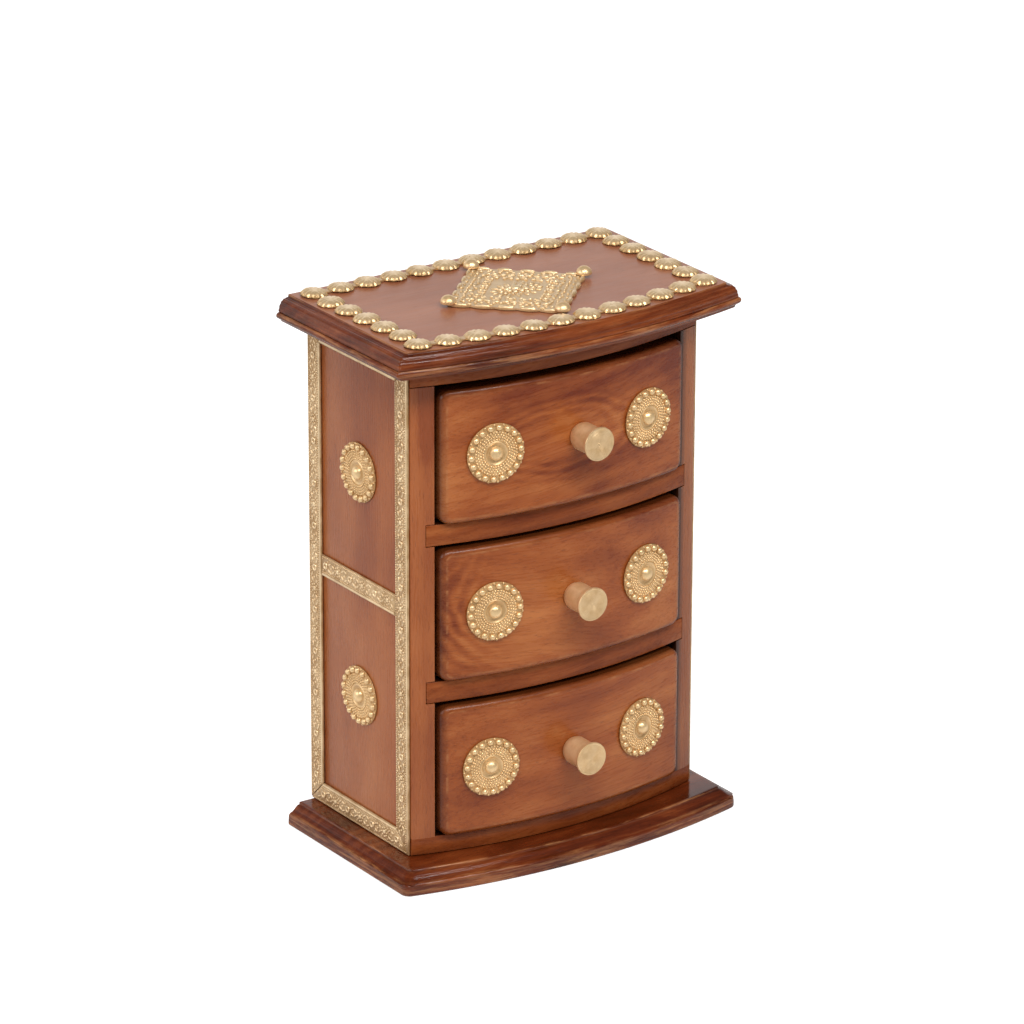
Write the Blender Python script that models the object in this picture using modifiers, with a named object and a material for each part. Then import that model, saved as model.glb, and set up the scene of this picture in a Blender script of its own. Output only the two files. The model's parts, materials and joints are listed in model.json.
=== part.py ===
"""Table chest of three bow-fronted drawers, trimmed with pressed brass.

Metres, +Z up. The front faces -Y, and the origin lies on the table under the middle of the carcass.
A level is the nominal height of a joint: the piece above it starts one glue line higher.
"""

import math

import bmesh
import bpy

# Carcass
CARCASS_WIDTH = 0.130
CARCASS_DEPTH = 0.0697  # of a side, from its back edge to its front corner
CARCASS_BOW = 0.0104  # how far the middle of the front stands before its corners
SIDE_THICKNESS = 0.009
BACK_THICKNESS = 0.004
BACK_REBATE = 0.003  # how far the back panel is let into each side
BOTTOM_THICKNESS = 0.0073
OPENING_HEIGHT = 0.0548
DIVIDER_THICKNESS = 0.0084
DIVIDER_HOUSING = 0.0035  # how far a divider is let into each side
UNDER_TOP_THICKNESS = 0.008
GLUE_LINE = 0.0003  # between pieces that are fixed to each other

# Moulded base and top boards, whose overhangs are measured from the carcass sides
BASE_THICKNESS = 0.0085
BASE_NOSE_OVERHANG = 0.0125
BASE_NOSE_HEIGHT = 0.0018  # of the widest line above the underside
BASE_FLAT_OVERHANG = 0.0074
BASE_REAR_SETBACK = 0.002
TOP_THICKNESS = 0.0104
TOP_NOSE_OVERHANG = 0.0134
TOP_NOSE_HEIGHT = 0.0026
TOP_FLAT_OVERHANG = 0.0079
TOP_REAR_OVERHANG = 0.0014
BOARD_BOW = 0.0102  # of the nose line, between its corners
BASE_FRONT_EXTRA = 0.0021  # the nose overhangs this much more at the front than at the sides
TOP_FRONT_EXTRA = -0.0019
TOP_FRONT_SHARE = 0.65  # how far the moulding projects at the front, as a share of the sides
FILLET_HEIGHT = 0.0009  # of the small step round the flat top of a board
FILLET_WIDTH = 0.0009
FILLET_FALL = 0.0002  # of the step towards the edge
NOSE_ROUND = 0.0009  # radius of the rounded nose
BEAD_RADIUS = 0.0012  # of the bead that is the nose of the top board
BEAD_PROUD = 0.0011  # of the bead before the foot of the curve above it
BEAD_UNDERCUT = 0.0023  # from the nose to the edge of the underside

# Drawers
FRONT_PROUD = 0.003  # how far a drawer front stands before the dividers
FRONT_EDGE_THICKNESS = 0.009  # at its two ends
FRONT_ROUNDING = 0.002
FRONT_SIDE_GAP = 0.0009
FRONT_TOP_GAP = 0.0016
RUN_CLEARANCE = 0.0003  # under the drawer
BOX_SIDE_GAP = 0.0008  # between a drawer wall and the carcass side
BOX_REAR_GAP = 0.0006
WALL_THICKNESS = 0.005
WALL_DROP = 0.006  # from the top of the front to the top of the walls
FLOOR_THICKNESS = 0.003

# Knobs and their screws
KNOB_LENGTH = 0.0125
KNOB_HEAD_RADIUS = 0.0066
KNOB_HEAD_DEPTH = 0.0011
KNOB_WAIST_RADIUS = 0.005
KNOB_COLLAR_RADIUS = 0.0057
KNOB_COLLAR_DEPTH = 0.0062
KNOB_CHAMFER = 0.0005  # of the collar where it meets the drawer
KNOB_DISH = 0.0003  # depth of the hollow in the face
KNOB_SHIFT = {"lower": 0.0, "middle": 0.0, "upper": 0.0024}  # to the right, as placed by hand
KNOB_RISE = {"lower": 0.0, "middle": 0.0, "upper": 0.0005}  # above the middle of the drawer front
SCREW_RADIUS = 0.0016
SCREW_HEAD_RADIUS = 0.0036
SCREW_HEAD_HEIGHT = 0.0018
SCREW_ENGAGEMENT = 0.006
SCREW_FIT = 0.0003  # round the screw, and past its end

# Pressed brass on the drawers and sides
ROSETTE_RADIUS = 0.012
ROSETTE_PLATE = 0.0009
ROSETTE_RIM = 0.0016  # radius of the ring of pearls
ROSETTE_DOME_RADIUS = 0.0026
ROSETTE_DOME_HEIGHT = 0.0026
ROSETTE_END_INSET = 0.0203  # from the end of a drawer front to the middle of its rosette
ROSETTE_SHIFT = {"lower": -0.001, "middle": 0.0004, "upper": 0.0005}  # to the right, as placed by hand
SIDE_ROSETTE_SPACING = 0.0907
STRIP_WIDTH = 0.0086
TOP_STRIP_WIDTH = 0.0071
STRIP_THICKNESS = 0.0006
STRIP_EDGE_INSET = 0.0006  # from the front and back edges of the side
MIDDLE_STRIP_RAISE = 0.0015  # above the middle of the side

# Pressed brass on the top
FLOWER_DIAMETER = 0.0107
FLOWER_HEIGHT = 0.0022
FLOWER_PITCH = 0.0121
FLOWER_INSET = 0.0075  # from the edges of the flat top to the middle of a row
REAR_FLOWER_INSET = 0.0062
FRONT_FLOWER_INSET = 0.0068
RIBBON_WIDTH = 0.0042
RIBBON_THICKNESS = 0.0006
FLOWER_LIFT = 0.0002  # of a flower's rim above the underside of its ribbon
LOZENGE_HALF_WIDTH = 0.031  # to the nail at a tip
LOZENGE_THICKNESS = 0.0008
LOZENGE_SCALLOP = 0.0008
LOZENGE_PANEL_INSET = 0.0062  # from the tips of the plate to those of its raised panel
LOZENGE_PANEL_HEIGHT = 0.0015
LOZENGE_BOSS_RADIUS = 0.0085
LOZENGE_BOSS_HEIGHT = 0.0026
LOZENGE_TAB_RADIUS = 0.0024
NAIL_RADIUS = 0.0031
NAIL_HEIGHT = 0.0032
NAIL_SHANK_RADIUS = 0.0007
NAIL_SHANK_LENGTH = 0.006

# Counts, and the tolerances of the mesh makers
MERGE_DISTANCE = 0.00001
FLAT_ANGLE = 0.001  # radians between faces that count as one flat
DRAWERS = ("lower", "middle", "upper")
ARC_STEPS = 16
ROUNDING_STEPS = 3
OVOLO_STEPS = 4
SCALLOPS_PER_EDGE = 7
SCALLOP_STEPS = 4
KNOB_SIDES = 24
ROSETTE_SIDES = 20
FLOWER_SIDES = 14
SMALL_SIDES = 12

# Colour, roughness and metallic value of each finish
FINISHES = {
    "moulding_wood": ((0.085, 0.026, 0.013), 0.28, 0.0),
    "carcass_wood": ((0.190, 0.066, 0.034), 0.36, 0.0),
    "drawer_wood": ((0.235, 0.074, 0.032), 0.34, 0.0),
    "inner_wood": ((0.360, 0.210, 0.110), 0.65, 0.0),
    "pressed_brass": ((0.720, 0.520, 0.240), 0.34, 1.0),
    "turned_brass": ((0.760, 0.560, 0.300), 0.22, 1.0),
    "steel": ((0.550, 0.550, 0.560), 0.35, 1.0),
}

# Derived places of the carcass
HALF_WIDTH = CARCASS_WIDTH / 2
INNER_HALF = HALF_WIDTH - SIDE_THICKNESS
BACK_Y = CARCASS_DEPTH / 2
CORNER_Y = -CARCASS_DEPTH / 2
PANEL_FACE_Y = BACK_Y - BACK_THICKNESS
BASE_LEVEL = BASE_THICKNESS
BOTTOM_LEVEL = BASE_LEVEL + BOTTOM_THICKNESS
OPENING_PITCH = OPENING_HEIGHT + DIVIDER_THICKNESS
SIDE_TOP_LEVEL = BOTTOM_LEVEL + len(DRAWERS) * OPENING_PITCH - DIVIDER_THICKNESS
UNDER_TOP_LEVEL = SIDE_TOP_LEVEL + UNDER_TOP_THICKNESS
TOP_LEVEL = UNDER_TOP_LEVEL + TOP_THICKNESS


def bow(half_width, corner_y, rise):
    """Centre and radius of the front arc through (+-half_width, corner_y) that rises to the front."""
    radius = (half_width**2 + rise**2) / (2 * rise)
    return corner_y - rise + radius, radius


def arc_y(arc, x, offset=0.0):
    """Y of the front arc, moved outwards by the offset, at x."""
    centre_y, radius = arc
    return centre_y - math.sqrt((radius + offset) ** 2 - x**2)


def arc_points(arc, start_x, end_x, offset=0.0, steps=ARC_STEPS):
    """Points along the front arc from start_x to end_x."""
    xs = [start_x + (end_x - start_x) * step / steps for step in range(steps + 1)]
    return [(x, arc_y(arc, x, offset)) for x in xs]


CARCASS_ARC = bow(HALF_WIDTH, CORNER_Y, CARCASS_BOW)
FRONT_HALF = INNER_HALF - FRONT_SIDE_GAP
FRONT_HEIGHT = OPENING_HEIGHT - FRONT_TOP_GAP - RUN_CLEARANCE
FRONT_BACK_Y = arc_y(CARCASS_ARC, FRONT_HALF, FRONT_PROUD) + FRONT_EDGE_THICKNESS

# Collections

for old in list(bpy.data.objects):
    bpy.data.objects.remove(old)
PARTS = bpy.data.collections.new("bow_front_chest")
CUTTERS = bpy.data.collections.new("cutters")
for group in (PARTS, CUTTERS):
    bpy.context.scene.collection.children.link(group)


def own_material(node, finish):
    """A material for one node, in one of the finishes."""
    colour, roughness, metallic = FINISHES[finish]
    material = bpy.data.materials.new(node + "_finish")
    material.use_nodes = True
    shader = material.node_tree.nodes["Principled BSDF"]
    shader.inputs["Base Color"].default_value = (*colour, 1.0)
    shader.inputs["Roughness"].default_value = roughness
    shader.inputs["Metallic"].default_value = metallic
    material.diffuse_color = (*colour, 1.0)
    return material


def add_part(name, data, finish, carrier=None):
    """A node of the chest, in the frame of the empty that carries it."""
    part = bpy.data.objects.new(name, data)
    data.materials.clear()
    data.materials.append(own_material(name, finish))
    PARTS.objects.link(part)
    part.parent = carrier
    return part


def add_cutter(name, data, carrier=None):
    """A helper shape for a Boolean."""
    cutter = bpy.data.objects.new(name, data)
    CUTTERS.objects.link(cutter)
    cutter.parent = carrier
    cutter.hide_render = True
    cutter.display_type = "WIRE"
    return cutter


def combine(part, other, operation):
    """Join the other shape to a part, or cut it away."""
    boolean = part.modifiers.new(other.name, "BOOLEAN")
    boolean.operation = operation
    boolean.object = other


# Mesh makers


def mesh_from(bm, name):
    """Mesh of a bmesh with its normals pointing out."""
    bmesh.ops.recalc_face_normals(bm, faces=bm.faces)
    mesh = bpy.data.meshes.new(name)
    bm.to_mesh(mesh)
    bm.free()
    return mesh


def block_mesh(name, low, high):
    """Box between two corners."""
    bm = bmesh.new()
    bmesh.ops.create_cube(bm, size=1.0)
    bmesh.ops.scale(bm, vec=[b - a for a, b in zip(low, high)], verts=bm.verts)
    bmesh.ops.translate(bm, vec=[(a + b) / 2 for a, b in zip(low, high)], verts=bm.verts)
    return mesh_from(bm, name)


def rod_mesh(name, radius, low, high, sides=SMALL_SIDES):
    """Upright cylinder between two heights."""
    bm = bmesh.new()
    bmesh.ops.create_cone(
        bm, cap_ends=True, segments=sides, radius1=radius, radius2=radius, depth=high - low
    )
    bmesh.ops.translate(bm, vec=(0, 0, (low + high) / 2), verts=bm.verts)
    return mesh_from(bm, name)


def outline_mesh(name, outline, low, high):
    """Flat outline, given as (x, y) points, with its thickness from low to high."""
    curve = bpy.data.curves.new(name, "CURVE")
    curve.dimensions = "2D"
    curve.fill_mode = "BOTH"
    curve.extrude = (high - low) / 2
    spline = curve.splines.new("POLY")
    spline.points.add(len(outline) - 1)
    for point, (x, y) in zip(spline.points, outline):
        point.co = (x, y, 0, 1)
    spline.use_cyclic_u = True
    flat = bpy.data.objects.new(name, curve)
    bpy.context.scene.collection.objects.link(flat)
    evaluated = flat.evaluated_get(bpy.context.evaluated_depsgraph_get())
    filled = bpy.data.meshes.new_from_object(evaluated)
    bpy.data.objects.remove(flat)
    bm = bmesh.new()
    bm.from_mesh(filled)
    bpy.data.meshes.remove(filled)
    bmesh.ops.remove_doubles(bm, verts=bm.verts, dist=MERGE_DISTANCE)
    bmesh.ops.translate(bm, vec=(0, 0, (low + high) / 2), verts=bm.verts)
    return mesh_from(bm, name)


def loft_mesh(name, sections):
    """Closed solid through level sections with equal numbers of points."""
    bm = bmesh.new()
    rings = []
    for points in sections:
        corners = [bm.verts.new(point) for point in points]
        rings.append([bm.edges.new(pair) for pair in zip(corners, corners[1:] + corners[:1])])
    for lower, upper in zip(rings, rings[1:]):
        bmesh.ops.bridge_loops(bm, edges=lower + upper)
    for ring in (rings[0], rings[-1]):
        bmesh.ops.contextual_create(bm, geom=ring)
    return mesh_from(bm, name)


def profile_mesh(name, profile):
    """Half section of a turned piece: (radius, height) points from the top down."""
    bm = bmesh.new()
    points = [bm.verts.new((radius, 0, height)) for radius, height in profile]
    for pair in zip(points, points[1:]):
        bm.edges.new(pair)
    mesh = bpy.data.meshes.new(name)
    bm.to_mesh(mesh)
    bm.free()
    return mesh


def turn(piece, sides):
    """Turn the half section of a piece round its Z axis."""
    screw = piece.modifiers.new("turned", "SCREW")
    screw.axis = "Z"
    screw.steps = sides
    screw.render_steps = sides
    screw.use_merge_vertices = True
    screw.merge_threshold = MERGE_DISTANCE
    screw.use_smooth_shade = True


# Moulded boards


def board_arc(nose_overhang, front_extra):
    """Front arc of a moulded board at its nose."""
    return bow(HALF_WIDTH + nose_overhang, CORNER_Y - nose_overhang - front_extra, BOARD_BOW)


BASE_ARC = board_arc(BASE_NOSE_OVERHANG, BASE_FRONT_EXTRA)
TOP_ARC = board_arc(TOP_NOSE_OVERHANG, TOP_FRONT_EXTRA)


def board_outline(arc, overhang, front_offset, rear_y):
    """Plan of a moulded board at one overhang: two rear corners, then the front arc from the left."""
    half = HALF_WIDTH + overhang
    front = arc_points(arc, -half, half, front_offset)
    return [(half, rear_y), (-half, rear_y), *front]


def ovolo(outer, inner, low, high):
    """Convex quarter from the nose up to the fillet, as (overhang, height) points."""
    points = []
    for step in range(OVOLO_STEPS + 1):
        angle = math.pi / 2 * step / OVOLO_STEPS
        overhang = inner + (outer - inner) * math.cos(angle)
        points.append((overhang, low + (high - low) * math.sin(angle)))
    return points


def rounded(overhang, height, radius, start, end, steps):
    """Part of a round edge whose widest point is at this overhang and height; angles in degrees."""
    points = []
    for step in range(steps + 1):
        angle = math.radians(start + (end - start) * step / steps)
        points.append((overhang - radius + radius * math.cos(angle), height + radius * math.sin(angle)))
    return points


def board_profile(thickness, nose_overhang, nose_height, flat_overhang, has_bead):
    """Edge of a moulded board from its underside to its flat top, as (overhang, height) points."""
    fillet_low = thickness - FILLET_HEIGHT
    under = nose_height - NOSE_ROUND
    if has_bead:
        nose = [(nose_overhang - BEAD_UNDERCUT, 0.0)]
        nose += rounded(nose_overhang, nose_height, BEAD_RADIUS, -60, 75, 5)
        foot, foot_height = nose_overhang - BEAD_PROUD, nose_height + BEAD_RADIUS
    else:
        nose = [(nose_overhang - NOSE_ROUND - under, 0.0)]
        nose += rounded(nose_overhang, nose_height, NOSE_ROUND, -60, 0, 2)
        foot, foot_height = nose_overhang, nose_height + NOSE_ROUND / 2
    curve = ovolo(foot, flat_overhang + FILLET_WIDTH, foot_height, fillet_low - FILLET_FALL)
    return nose + curve + [(flat_overhang, fillet_low), (flat_overhang, thickness)]


def moulded_board(name, profile, arc, front_share, rear_y, level):
    """Board with its profile on three edges, cut straight across at the back."""
    nose_overhang = max(overhang for overhang, height in profile)
    sections = []
    for overhang, height in profile:
        plan = board_outline(arc, overhang, (overhang - nose_overhang) * front_share, rear_y)
        sections.append([(x, y, level + height) for x, y in plan])
    return add_part(name, loft_mesh(name, sections), "moulding_wood")


base_profile = board_profile(BASE_THICKNESS, BASE_NOSE_OVERHANG, BASE_NOSE_HEIGHT, BASE_FLAT_OVERHANG, False)
moulded_board("base_board", base_profile, BASE_ARC, 1.0, BACK_Y - BASE_REAR_SETBACK, 0.0)

top_profile = board_profile(
    TOP_THICKNESS - GLUE_LINE, TOP_NOSE_OVERHANG, TOP_NOSE_HEIGHT, TOP_FLAT_OVERHANG, True
)
top_board = moulded_board(
    "top_board",
    top_profile,
    TOP_ARC,
    TOP_FRONT_SHARE,
    BACK_Y + TOP_REAR_OVERHANG,
    UNDER_TOP_LEVEL + GLUE_LINE,
)

# Carcass boards


def bowed_board(name, half_width, rear_y, low, high):
    """Level board whose front edge follows the bow of the carcass."""
    front = arc_points(CARCASS_ARC, -half_width, half_width)
    outline = [(half_width, rear_y), (-half_width, rear_y), *front]
    return add_part(name, outline_mesh(name, outline, low, high), "carcass_wood")


bowed_board("bottom_board", HALF_WIDTH, BACK_Y, BASE_LEVEL + GLUE_LINE, BOTTOM_LEVEL)
bowed_board("under_top_board", HALF_WIDTH, BACK_Y, SIDE_TOP_LEVEL + GLUE_LINE, UNDER_TOP_LEVEL)

divider_levels = [BOTTOM_LEVEL + OPENING_PITCH * row - DIVIDER_THICKNESS for row in range(1, len(DRAWERS))]
for name, level in zip(("lower_divider", "upper_divider"), divider_levels):
    half_width = INNER_HALF + DIVIDER_HOUSING - GLUE_LINE
    bowed_board(name, half_width, PANEL_FACE_Y - GLUE_LINE, level, level + DIVIDER_THICKNESS)


def side_outline(hand):
    """Plan of a side, rebated at the back for the panel; hand is -1 for left and +1 for right."""
    rebate_x = INNER_HALF + BACK_REBATE
    rebate_y = PANEL_FACE_Y - GLUE_LINE
    rear = [(HALF_WIDTH, BACK_Y), (rebate_x, BACK_Y), (rebate_x, rebate_y), (INNER_HALF, rebate_y)]
    front = arc_points(CARCASS_ARC, INNER_HALF, HALF_WIDTH, steps=ARC_STEPS // 4)
    return [(hand * x, y) for x, y in rear + front]


def housing_cutter(name, hand, level):
    """Groove across a side that takes the end of a divider."""
    edges = sorted((hand * (INNER_HALF - SIDE_THICKNESS), hand * (INNER_HALF + DIVIDER_HOUSING)))
    low = (edges[0], CORNER_Y - CARCASS_DEPTH, level - GLUE_LINE)
    high = (edges[1], BACK_Y + CARCASS_DEPTH, level + DIVIDER_THICKNESS + GLUE_LINE)
    return add_cutter(name, block_mesh(name, low, high))


for hand, name in ((-1, "left_side"), (1, "right_side")):
    mesh = outline_mesh(name, side_outline(hand), BOTTOM_LEVEL + GLUE_LINE, SIDE_TOP_LEVEL)
    side = add_part(name, mesh, "carcass_wood")
    for number, level in enumerate(divider_levels):
        combine(side, housing_cutter(f"{name}_housing_{number}", hand, level), "DIFFERENCE")

panel_half = INNER_HALF + BACK_REBATE - GLUE_LINE
panel_low = (-panel_half, PANEL_FACE_Y, BOTTOM_LEVEL + GLUE_LINE)
panel_high = (panel_half, BACK_Y, SIDE_TOP_LEVEL)
add_part("back_panel", block_mesh("back_panel", panel_low, panel_high), "inner_wood")

# Turned and pressed shapes


def knob_profile():
    """Dished face with a thin rim, flare, waist, long collar, and a blind hole for the screw."""
    rim = KNOB_LENGTH - KNOB_HEAD_DEPTH
    bore = SCREW_RADIUS + SCREW_FIT
    bore_end = SCREW_ENGAGEMENT + SCREW_FIT
    waist_low = KNOB_COLLAR_DEPTH + (rim - KNOB_COLLAR_DEPTH) / 4
    waist_high = KNOB_COLLAR_DEPTH + (rim - KNOB_COLLAR_DEPTH) / 2
    flare_radius = KNOB_WAIST_RADIUS + (KNOB_HEAD_RADIUS - KNOB_WAIST_RADIUS) / 3
    return [
        (0.0, KNOB_LENGTH - KNOB_DISH),
        (KNOB_HEAD_RADIUS - 2 * KNOB_DISH, KNOB_LENGTH),
        (KNOB_HEAD_RADIUS, KNOB_LENGTH - KNOB_DISH),
        (KNOB_HEAD_RADIUS, rim),
        (flare_radius, (rim + waist_high) / 2),
        (KNOB_WAIST_RADIUS, waist_high),
        (KNOB_WAIST_RADIUS, waist_low),
        (KNOB_COLLAR_RADIUS, KNOB_COLLAR_DEPTH),
        (KNOB_COLLAR_RADIUS, KNOB_CHAMFER),
        (KNOB_COLLAR_RADIUS - KNOB_CHAMFER, 0.0),
        (bore, 0.0),
        (bore, bore_end),
        (0.0, bore_end),
    ]


def screw_profile(shank_length):
    """Screw with its point up and a round head below."""
    return [
        (0.0, shank_length),
        (SCREW_RADIUS, shank_length - SCREW_RADIUS / 2),
        (SCREW_RADIUS, 0.0),
        (SCREW_HEAD_RADIUS, 0.0),
        (SCREW_HEAD_RADIUS, -SCREW_HEAD_HEIGHT / 2),
        (SCREW_HEAD_RADIUS / 2, -SCREW_HEAD_HEIGHT),
        (0.0, -SCREW_HEAD_HEIGHT),
    ]


def rosette_profile():
    """Central dome in a groove, sloping field and round rim, on a flat back."""
    field = ROSETTE_RADIUS - 2 * ROSETTE_RIM
    return [
        (0.0, ROSETTE_DOME_HEIGHT),
        (ROSETTE_DOME_RADIUS * math.cos(math.pi / 4), (ROSETTE_DOME_HEIGHT + ROSETTE_PLATE) / 2),
        (ROSETTE_DOME_RADIUS, ROSETTE_PLATE),
        ((ROSETTE_DOME_RADIUS + field) / 2, ROSETTE_PLATE + ROSETTE_RIM / 2),
        (field, ROSETTE_PLATE),
        (ROSETTE_RADIUS - ROSETTE_RIM, ROSETTE_PLATE + ROSETTE_RIM / 2),
        (ROSETTE_RADIUS, ROSETTE_PLATE),
        (ROSETTE_RADIUS, 0.0),
        (0.0, 0.0),
    ]


def dome_profile(radius, height, shank_radius=0.0, shank_length=0.0):
    """Domed head with a flat back, and a shank below it where one is asked for."""
    points = [(0.0, height)]
    for angle in (60, 30):
        turned = math.radians(angle)
        points.append((radius * math.cos(turned), height * math.sin(turned)))
    points += [(radius, 0.0)]
    if shank_length:
        points += [(shank_radius, 0.0), (shank_radius, -shank_length)]
    return points + [(0.0, -shank_length)]


def facing(turn_angle):
    """Turn a piece that stands on its back so that it faces the front, then about Z by the angle."""
    return (math.pi / 2, 0.0, turn_angle)


def add_rosette(name, place, turn_angle, carrier=None):
    """Rosette with its back at the place."""
    rosette = add_part(name, profile_mesh(name, rosette_profile()), "pressed_brass", carrier)
    turn(rosette, ROSETTE_SIDES)
    rosette.location = place
    rosette.rotation_euler = facing(turn_angle)


# Drawers


def knob_place(drawer):
    """Middle of the knob's back on the front of its drawer."""
    x = KNOB_SHIFT[drawer]
    return x, arc_y(CARCASS_ARC, x, FRONT_PROUD) - GLUE_LINE, FRONT_HEIGHT / 2 + KNOB_RISE[drawer]


def drawer_front(drawer, carrier):
    """Bowed front with a flat back, rounded on its outer edges and bored for the knob's screw."""
    name = f"{drawer}_drawer_front"
    arc = arc_points(CARCASS_ARC, -FRONT_HALF, FRONT_HALF, FRONT_PROUD)
    outline = [(FRONT_HALF, FRONT_BACK_Y), (-FRONT_HALF, FRONT_BACK_Y), *arc]
    mesh = outline_mesh(name, outline, 0.0, FRONT_HEIGHT)
    bm = bmesh.new()
    bm.from_mesh(mesh)
    bmesh.ops.dissolve_limit(bm, angle_limit=FLAT_ANGLE, verts=bm.verts, edges=bm.edges)
    weight = bm.edges.layers.float.new("bevel_weight_edge")
    for edge in bm.edges:
        on_face = all(vert.co.y < FRONT_BACK_Y - FRONT_EDGE_THICKNESS / 2 for vert in edge.verts)
        if on_face and edge.calc_face_angle() > math.pi / 4:
            edge[weight] = 1.0
    bm.to_mesh(mesh)
    bm.free()
    front = add_part(name, mesh, "drawer_wood", carrier)
    rounding = front.modifiers.new("rounded edges", "BEVEL")
    rounding.limit_method = "WEIGHT"
    rounding.width = FRONT_ROUNDING
    rounding.segments = ROUNDING_STEPS
    hole_name = name + "_screw_hole"
    x, y, z = knob_place(drawer)
    reach = FRONT_BACK_Y - y
    hole = add_cutter(hole_name, rod_mesh(hole_name, SCREW_RADIUS + SCREW_FIT, -reach, 2 * reach), carrier)
    hole.location = (x, FRONT_BACK_Y, z)
    hole.rotation_euler = facing(0.0)
    combine(front, hole, "DIFFERENCE")


def drawer_box(drawer, carrier):
    """Floor, two walls and back wall behind the front."""
    half = INNER_HALF - BOX_SIDE_GAP
    near = FRONT_BACK_Y + GLUE_LINE
    rear = PANEL_FACE_Y - BOX_REAR_GAP
    wall_low = FLOOR_THICKNESS + GLUE_LINE
    wall_high = FRONT_HEIGHT - WALL_DROP
    inner = half - WALL_THICKNESS
    boxes = {
        "floor": ((-half, near, 0.0), (half, rear, FLOOR_THICKNESS)),
        "left_wall": ((-half, near, wall_low), (-inner, rear, wall_high)),
        "right_wall": ((inner, near, wall_low), (half, rear, wall_high)),
        "back_wall": (
            (-inner + GLUE_LINE, rear - WALL_THICKNESS, wall_low),
            (inner - GLUE_LINE, rear, wall_high),
        ),
    }
    for piece, (low, high) in boxes.items():
        name = f"{drawer}_drawer_{piece}"
        add_part(name, block_mesh(name, low, high), "inner_wood", carrier)


def drawer_brass(drawer, carrier):
    """Knob with its screw, and a rosette on each side of it."""
    x, knob_y, z = knob_place(drawer)
    name = f"{drawer}_knob"
    knob = add_part(name, profile_mesh(name, knob_profile()), "turned_brass", carrier)
    turn(knob, KNOB_SIDES)
    knob.location = (x, knob_y, z)
    knob.rotation_euler = facing(0.0)
    name = f"{drawer}_knob_screw"
    head_y = FRONT_BACK_Y + GLUE_LINE
    shank_length = head_y - knob_y + SCREW_ENGAGEMENT
    screw = add_part(name, profile_mesh(name, screw_profile(shank_length)), "steel", carrier)
    turn(screw, SMALL_SIDES)
    screw.location = (x, head_y, z)
    screw.rotation_euler = facing(0.0)
    for hand, side in ((-1, "left"), (1, "right")):
        x = hand * (FRONT_HALF - ROSETTE_END_INSET) + ROSETTE_SHIFT[drawer]
        angle = math.asin(x / (CARCASS_ARC[1] + FRONT_PROUD))
        y = arc_y(CARCASS_ARC, x, FRONT_PROUD)
        place = (x + GLUE_LINE * math.sin(angle), y - GLUE_LINE * math.cos(angle), FRONT_HEIGHT / 2)
        add_rosette(f"{drawer}_{side}_rosette", place, angle, carrier)


for row, drawer in enumerate(DRAWERS):
    slide = bpy.data.objects.new(f"{drawer}_drawer_slide", None)
    PARTS.objects.link(slide)
    slide.location = (0.0, 0.0, BOTTOM_LEVEL + OPENING_PITCH * row + RUN_CLEARANCE)
    drawer_front(drawer, slide)
    drawer_box(drawer, slide)
    drawer_brass(drawer, slide)

# Brass on the sides

MIDDLE_STRIP_LEVEL = (BASE_LEVEL + UNDER_TOP_LEVEL) / 2 + MIDDLE_STRIP_RAISE


def strip_outlines():
    """Mitred frame of strips and the bar across it, as (y, z) outlines."""
    rear, front = BACK_Y - STRIP_EDGE_INSET, CORNER_Y + STRIP_EDGE_INSET
    low, high = BASE_LEVEL + GLUE_LINE, UNDER_TOP_LEVEL - GLUE_LINE
    width = STRIP_WIDTH
    mitre = GLUE_LINE / math.sqrt(2)
    inner_front = front + width + GLUE_LINE
    inner_rear = rear - width - GLUE_LINE
    inner_low = low + width + mitre
    inner_high = high - TOP_STRIP_WIDTH - mitre
    front_inset, rear_inset = front + width + mitre, rear - width - mitre
    return {
        "front": [
            (front, low + mitre),
            (front + width, inner_low),
            (front + width, inner_high),
            (front, high - mitre),
        ],
        "rear": [
            (rear, low + mitre),
            (rear, high - mitre),
            (rear - width, inner_high),
            (rear - width, inner_low),
        ],
        "bottom": [
            (front + mitre, low),
            (rear - mitre, low),
            (rear_inset, low + width),
            (front_inset, low + width),
        ],
        "top": [
            (front + mitre, high),
            (front_inset, high - TOP_STRIP_WIDTH),
            (rear_inset, high - TOP_STRIP_WIDTH),
            (rear - mitre, high),
        ],
        "middle": [
            (inner_front, MIDDLE_STRIP_LEVEL - width / 2),
            (inner_rear, MIDDLE_STRIP_LEVEL - width / 2),
            (inner_rear, MIDDLE_STRIP_LEVEL + width / 2),
            (inner_front, MIDDLE_STRIP_LEVEL + width / 2),
        ],
    }


for hand, side in ((-1, "left"), (1, "right")):
    for place, outline in strip_outlines().items():
        name = f"{side}_{place}_strip"
        mesh = outline_mesh(name, outline, -STRIP_THICKNESS / 2, STRIP_THICKNESS / 2)
        strip = add_part(name, mesh, "pressed_brass")
        strip.location.x = hand * (HALF_WIDTH + GLUE_LINE + STRIP_THICKNESS / 2)
        strip.rotation_euler = (math.pi / 2, 0.0, math.pi / 2)
    for lift, place in ((-1, "lower"), (1, "upper")):
        height = MIDDLE_STRIP_LEVEL + lift * SIDE_ROSETTE_SPACING / 2
        spot = (hand * (HALF_WIDTH + GLUE_LINE), 0.0, height)
        add_rosette(f"{side}_side_{place}_rosette", spot, hand * math.pi / 2)

# Brass on the top

BRASS_LEVEL = TOP_LEVEL + GLUE_LINE
ROW_HALF = HALF_WIDTH + TOP_FLAT_OVERHANG - FLOWER_INSET
REAR_ROW_Y = BACK_Y + TOP_REAR_OVERHANG - REAR_FLOWER_INSET
FRONT_ROW_OFFSET = (TOP_FLAT_OVERHANG - TOP_NOSE_OVERHANG) * TOP_FRONT_SHARE - FRONT_FLOWER_INSET


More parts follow.
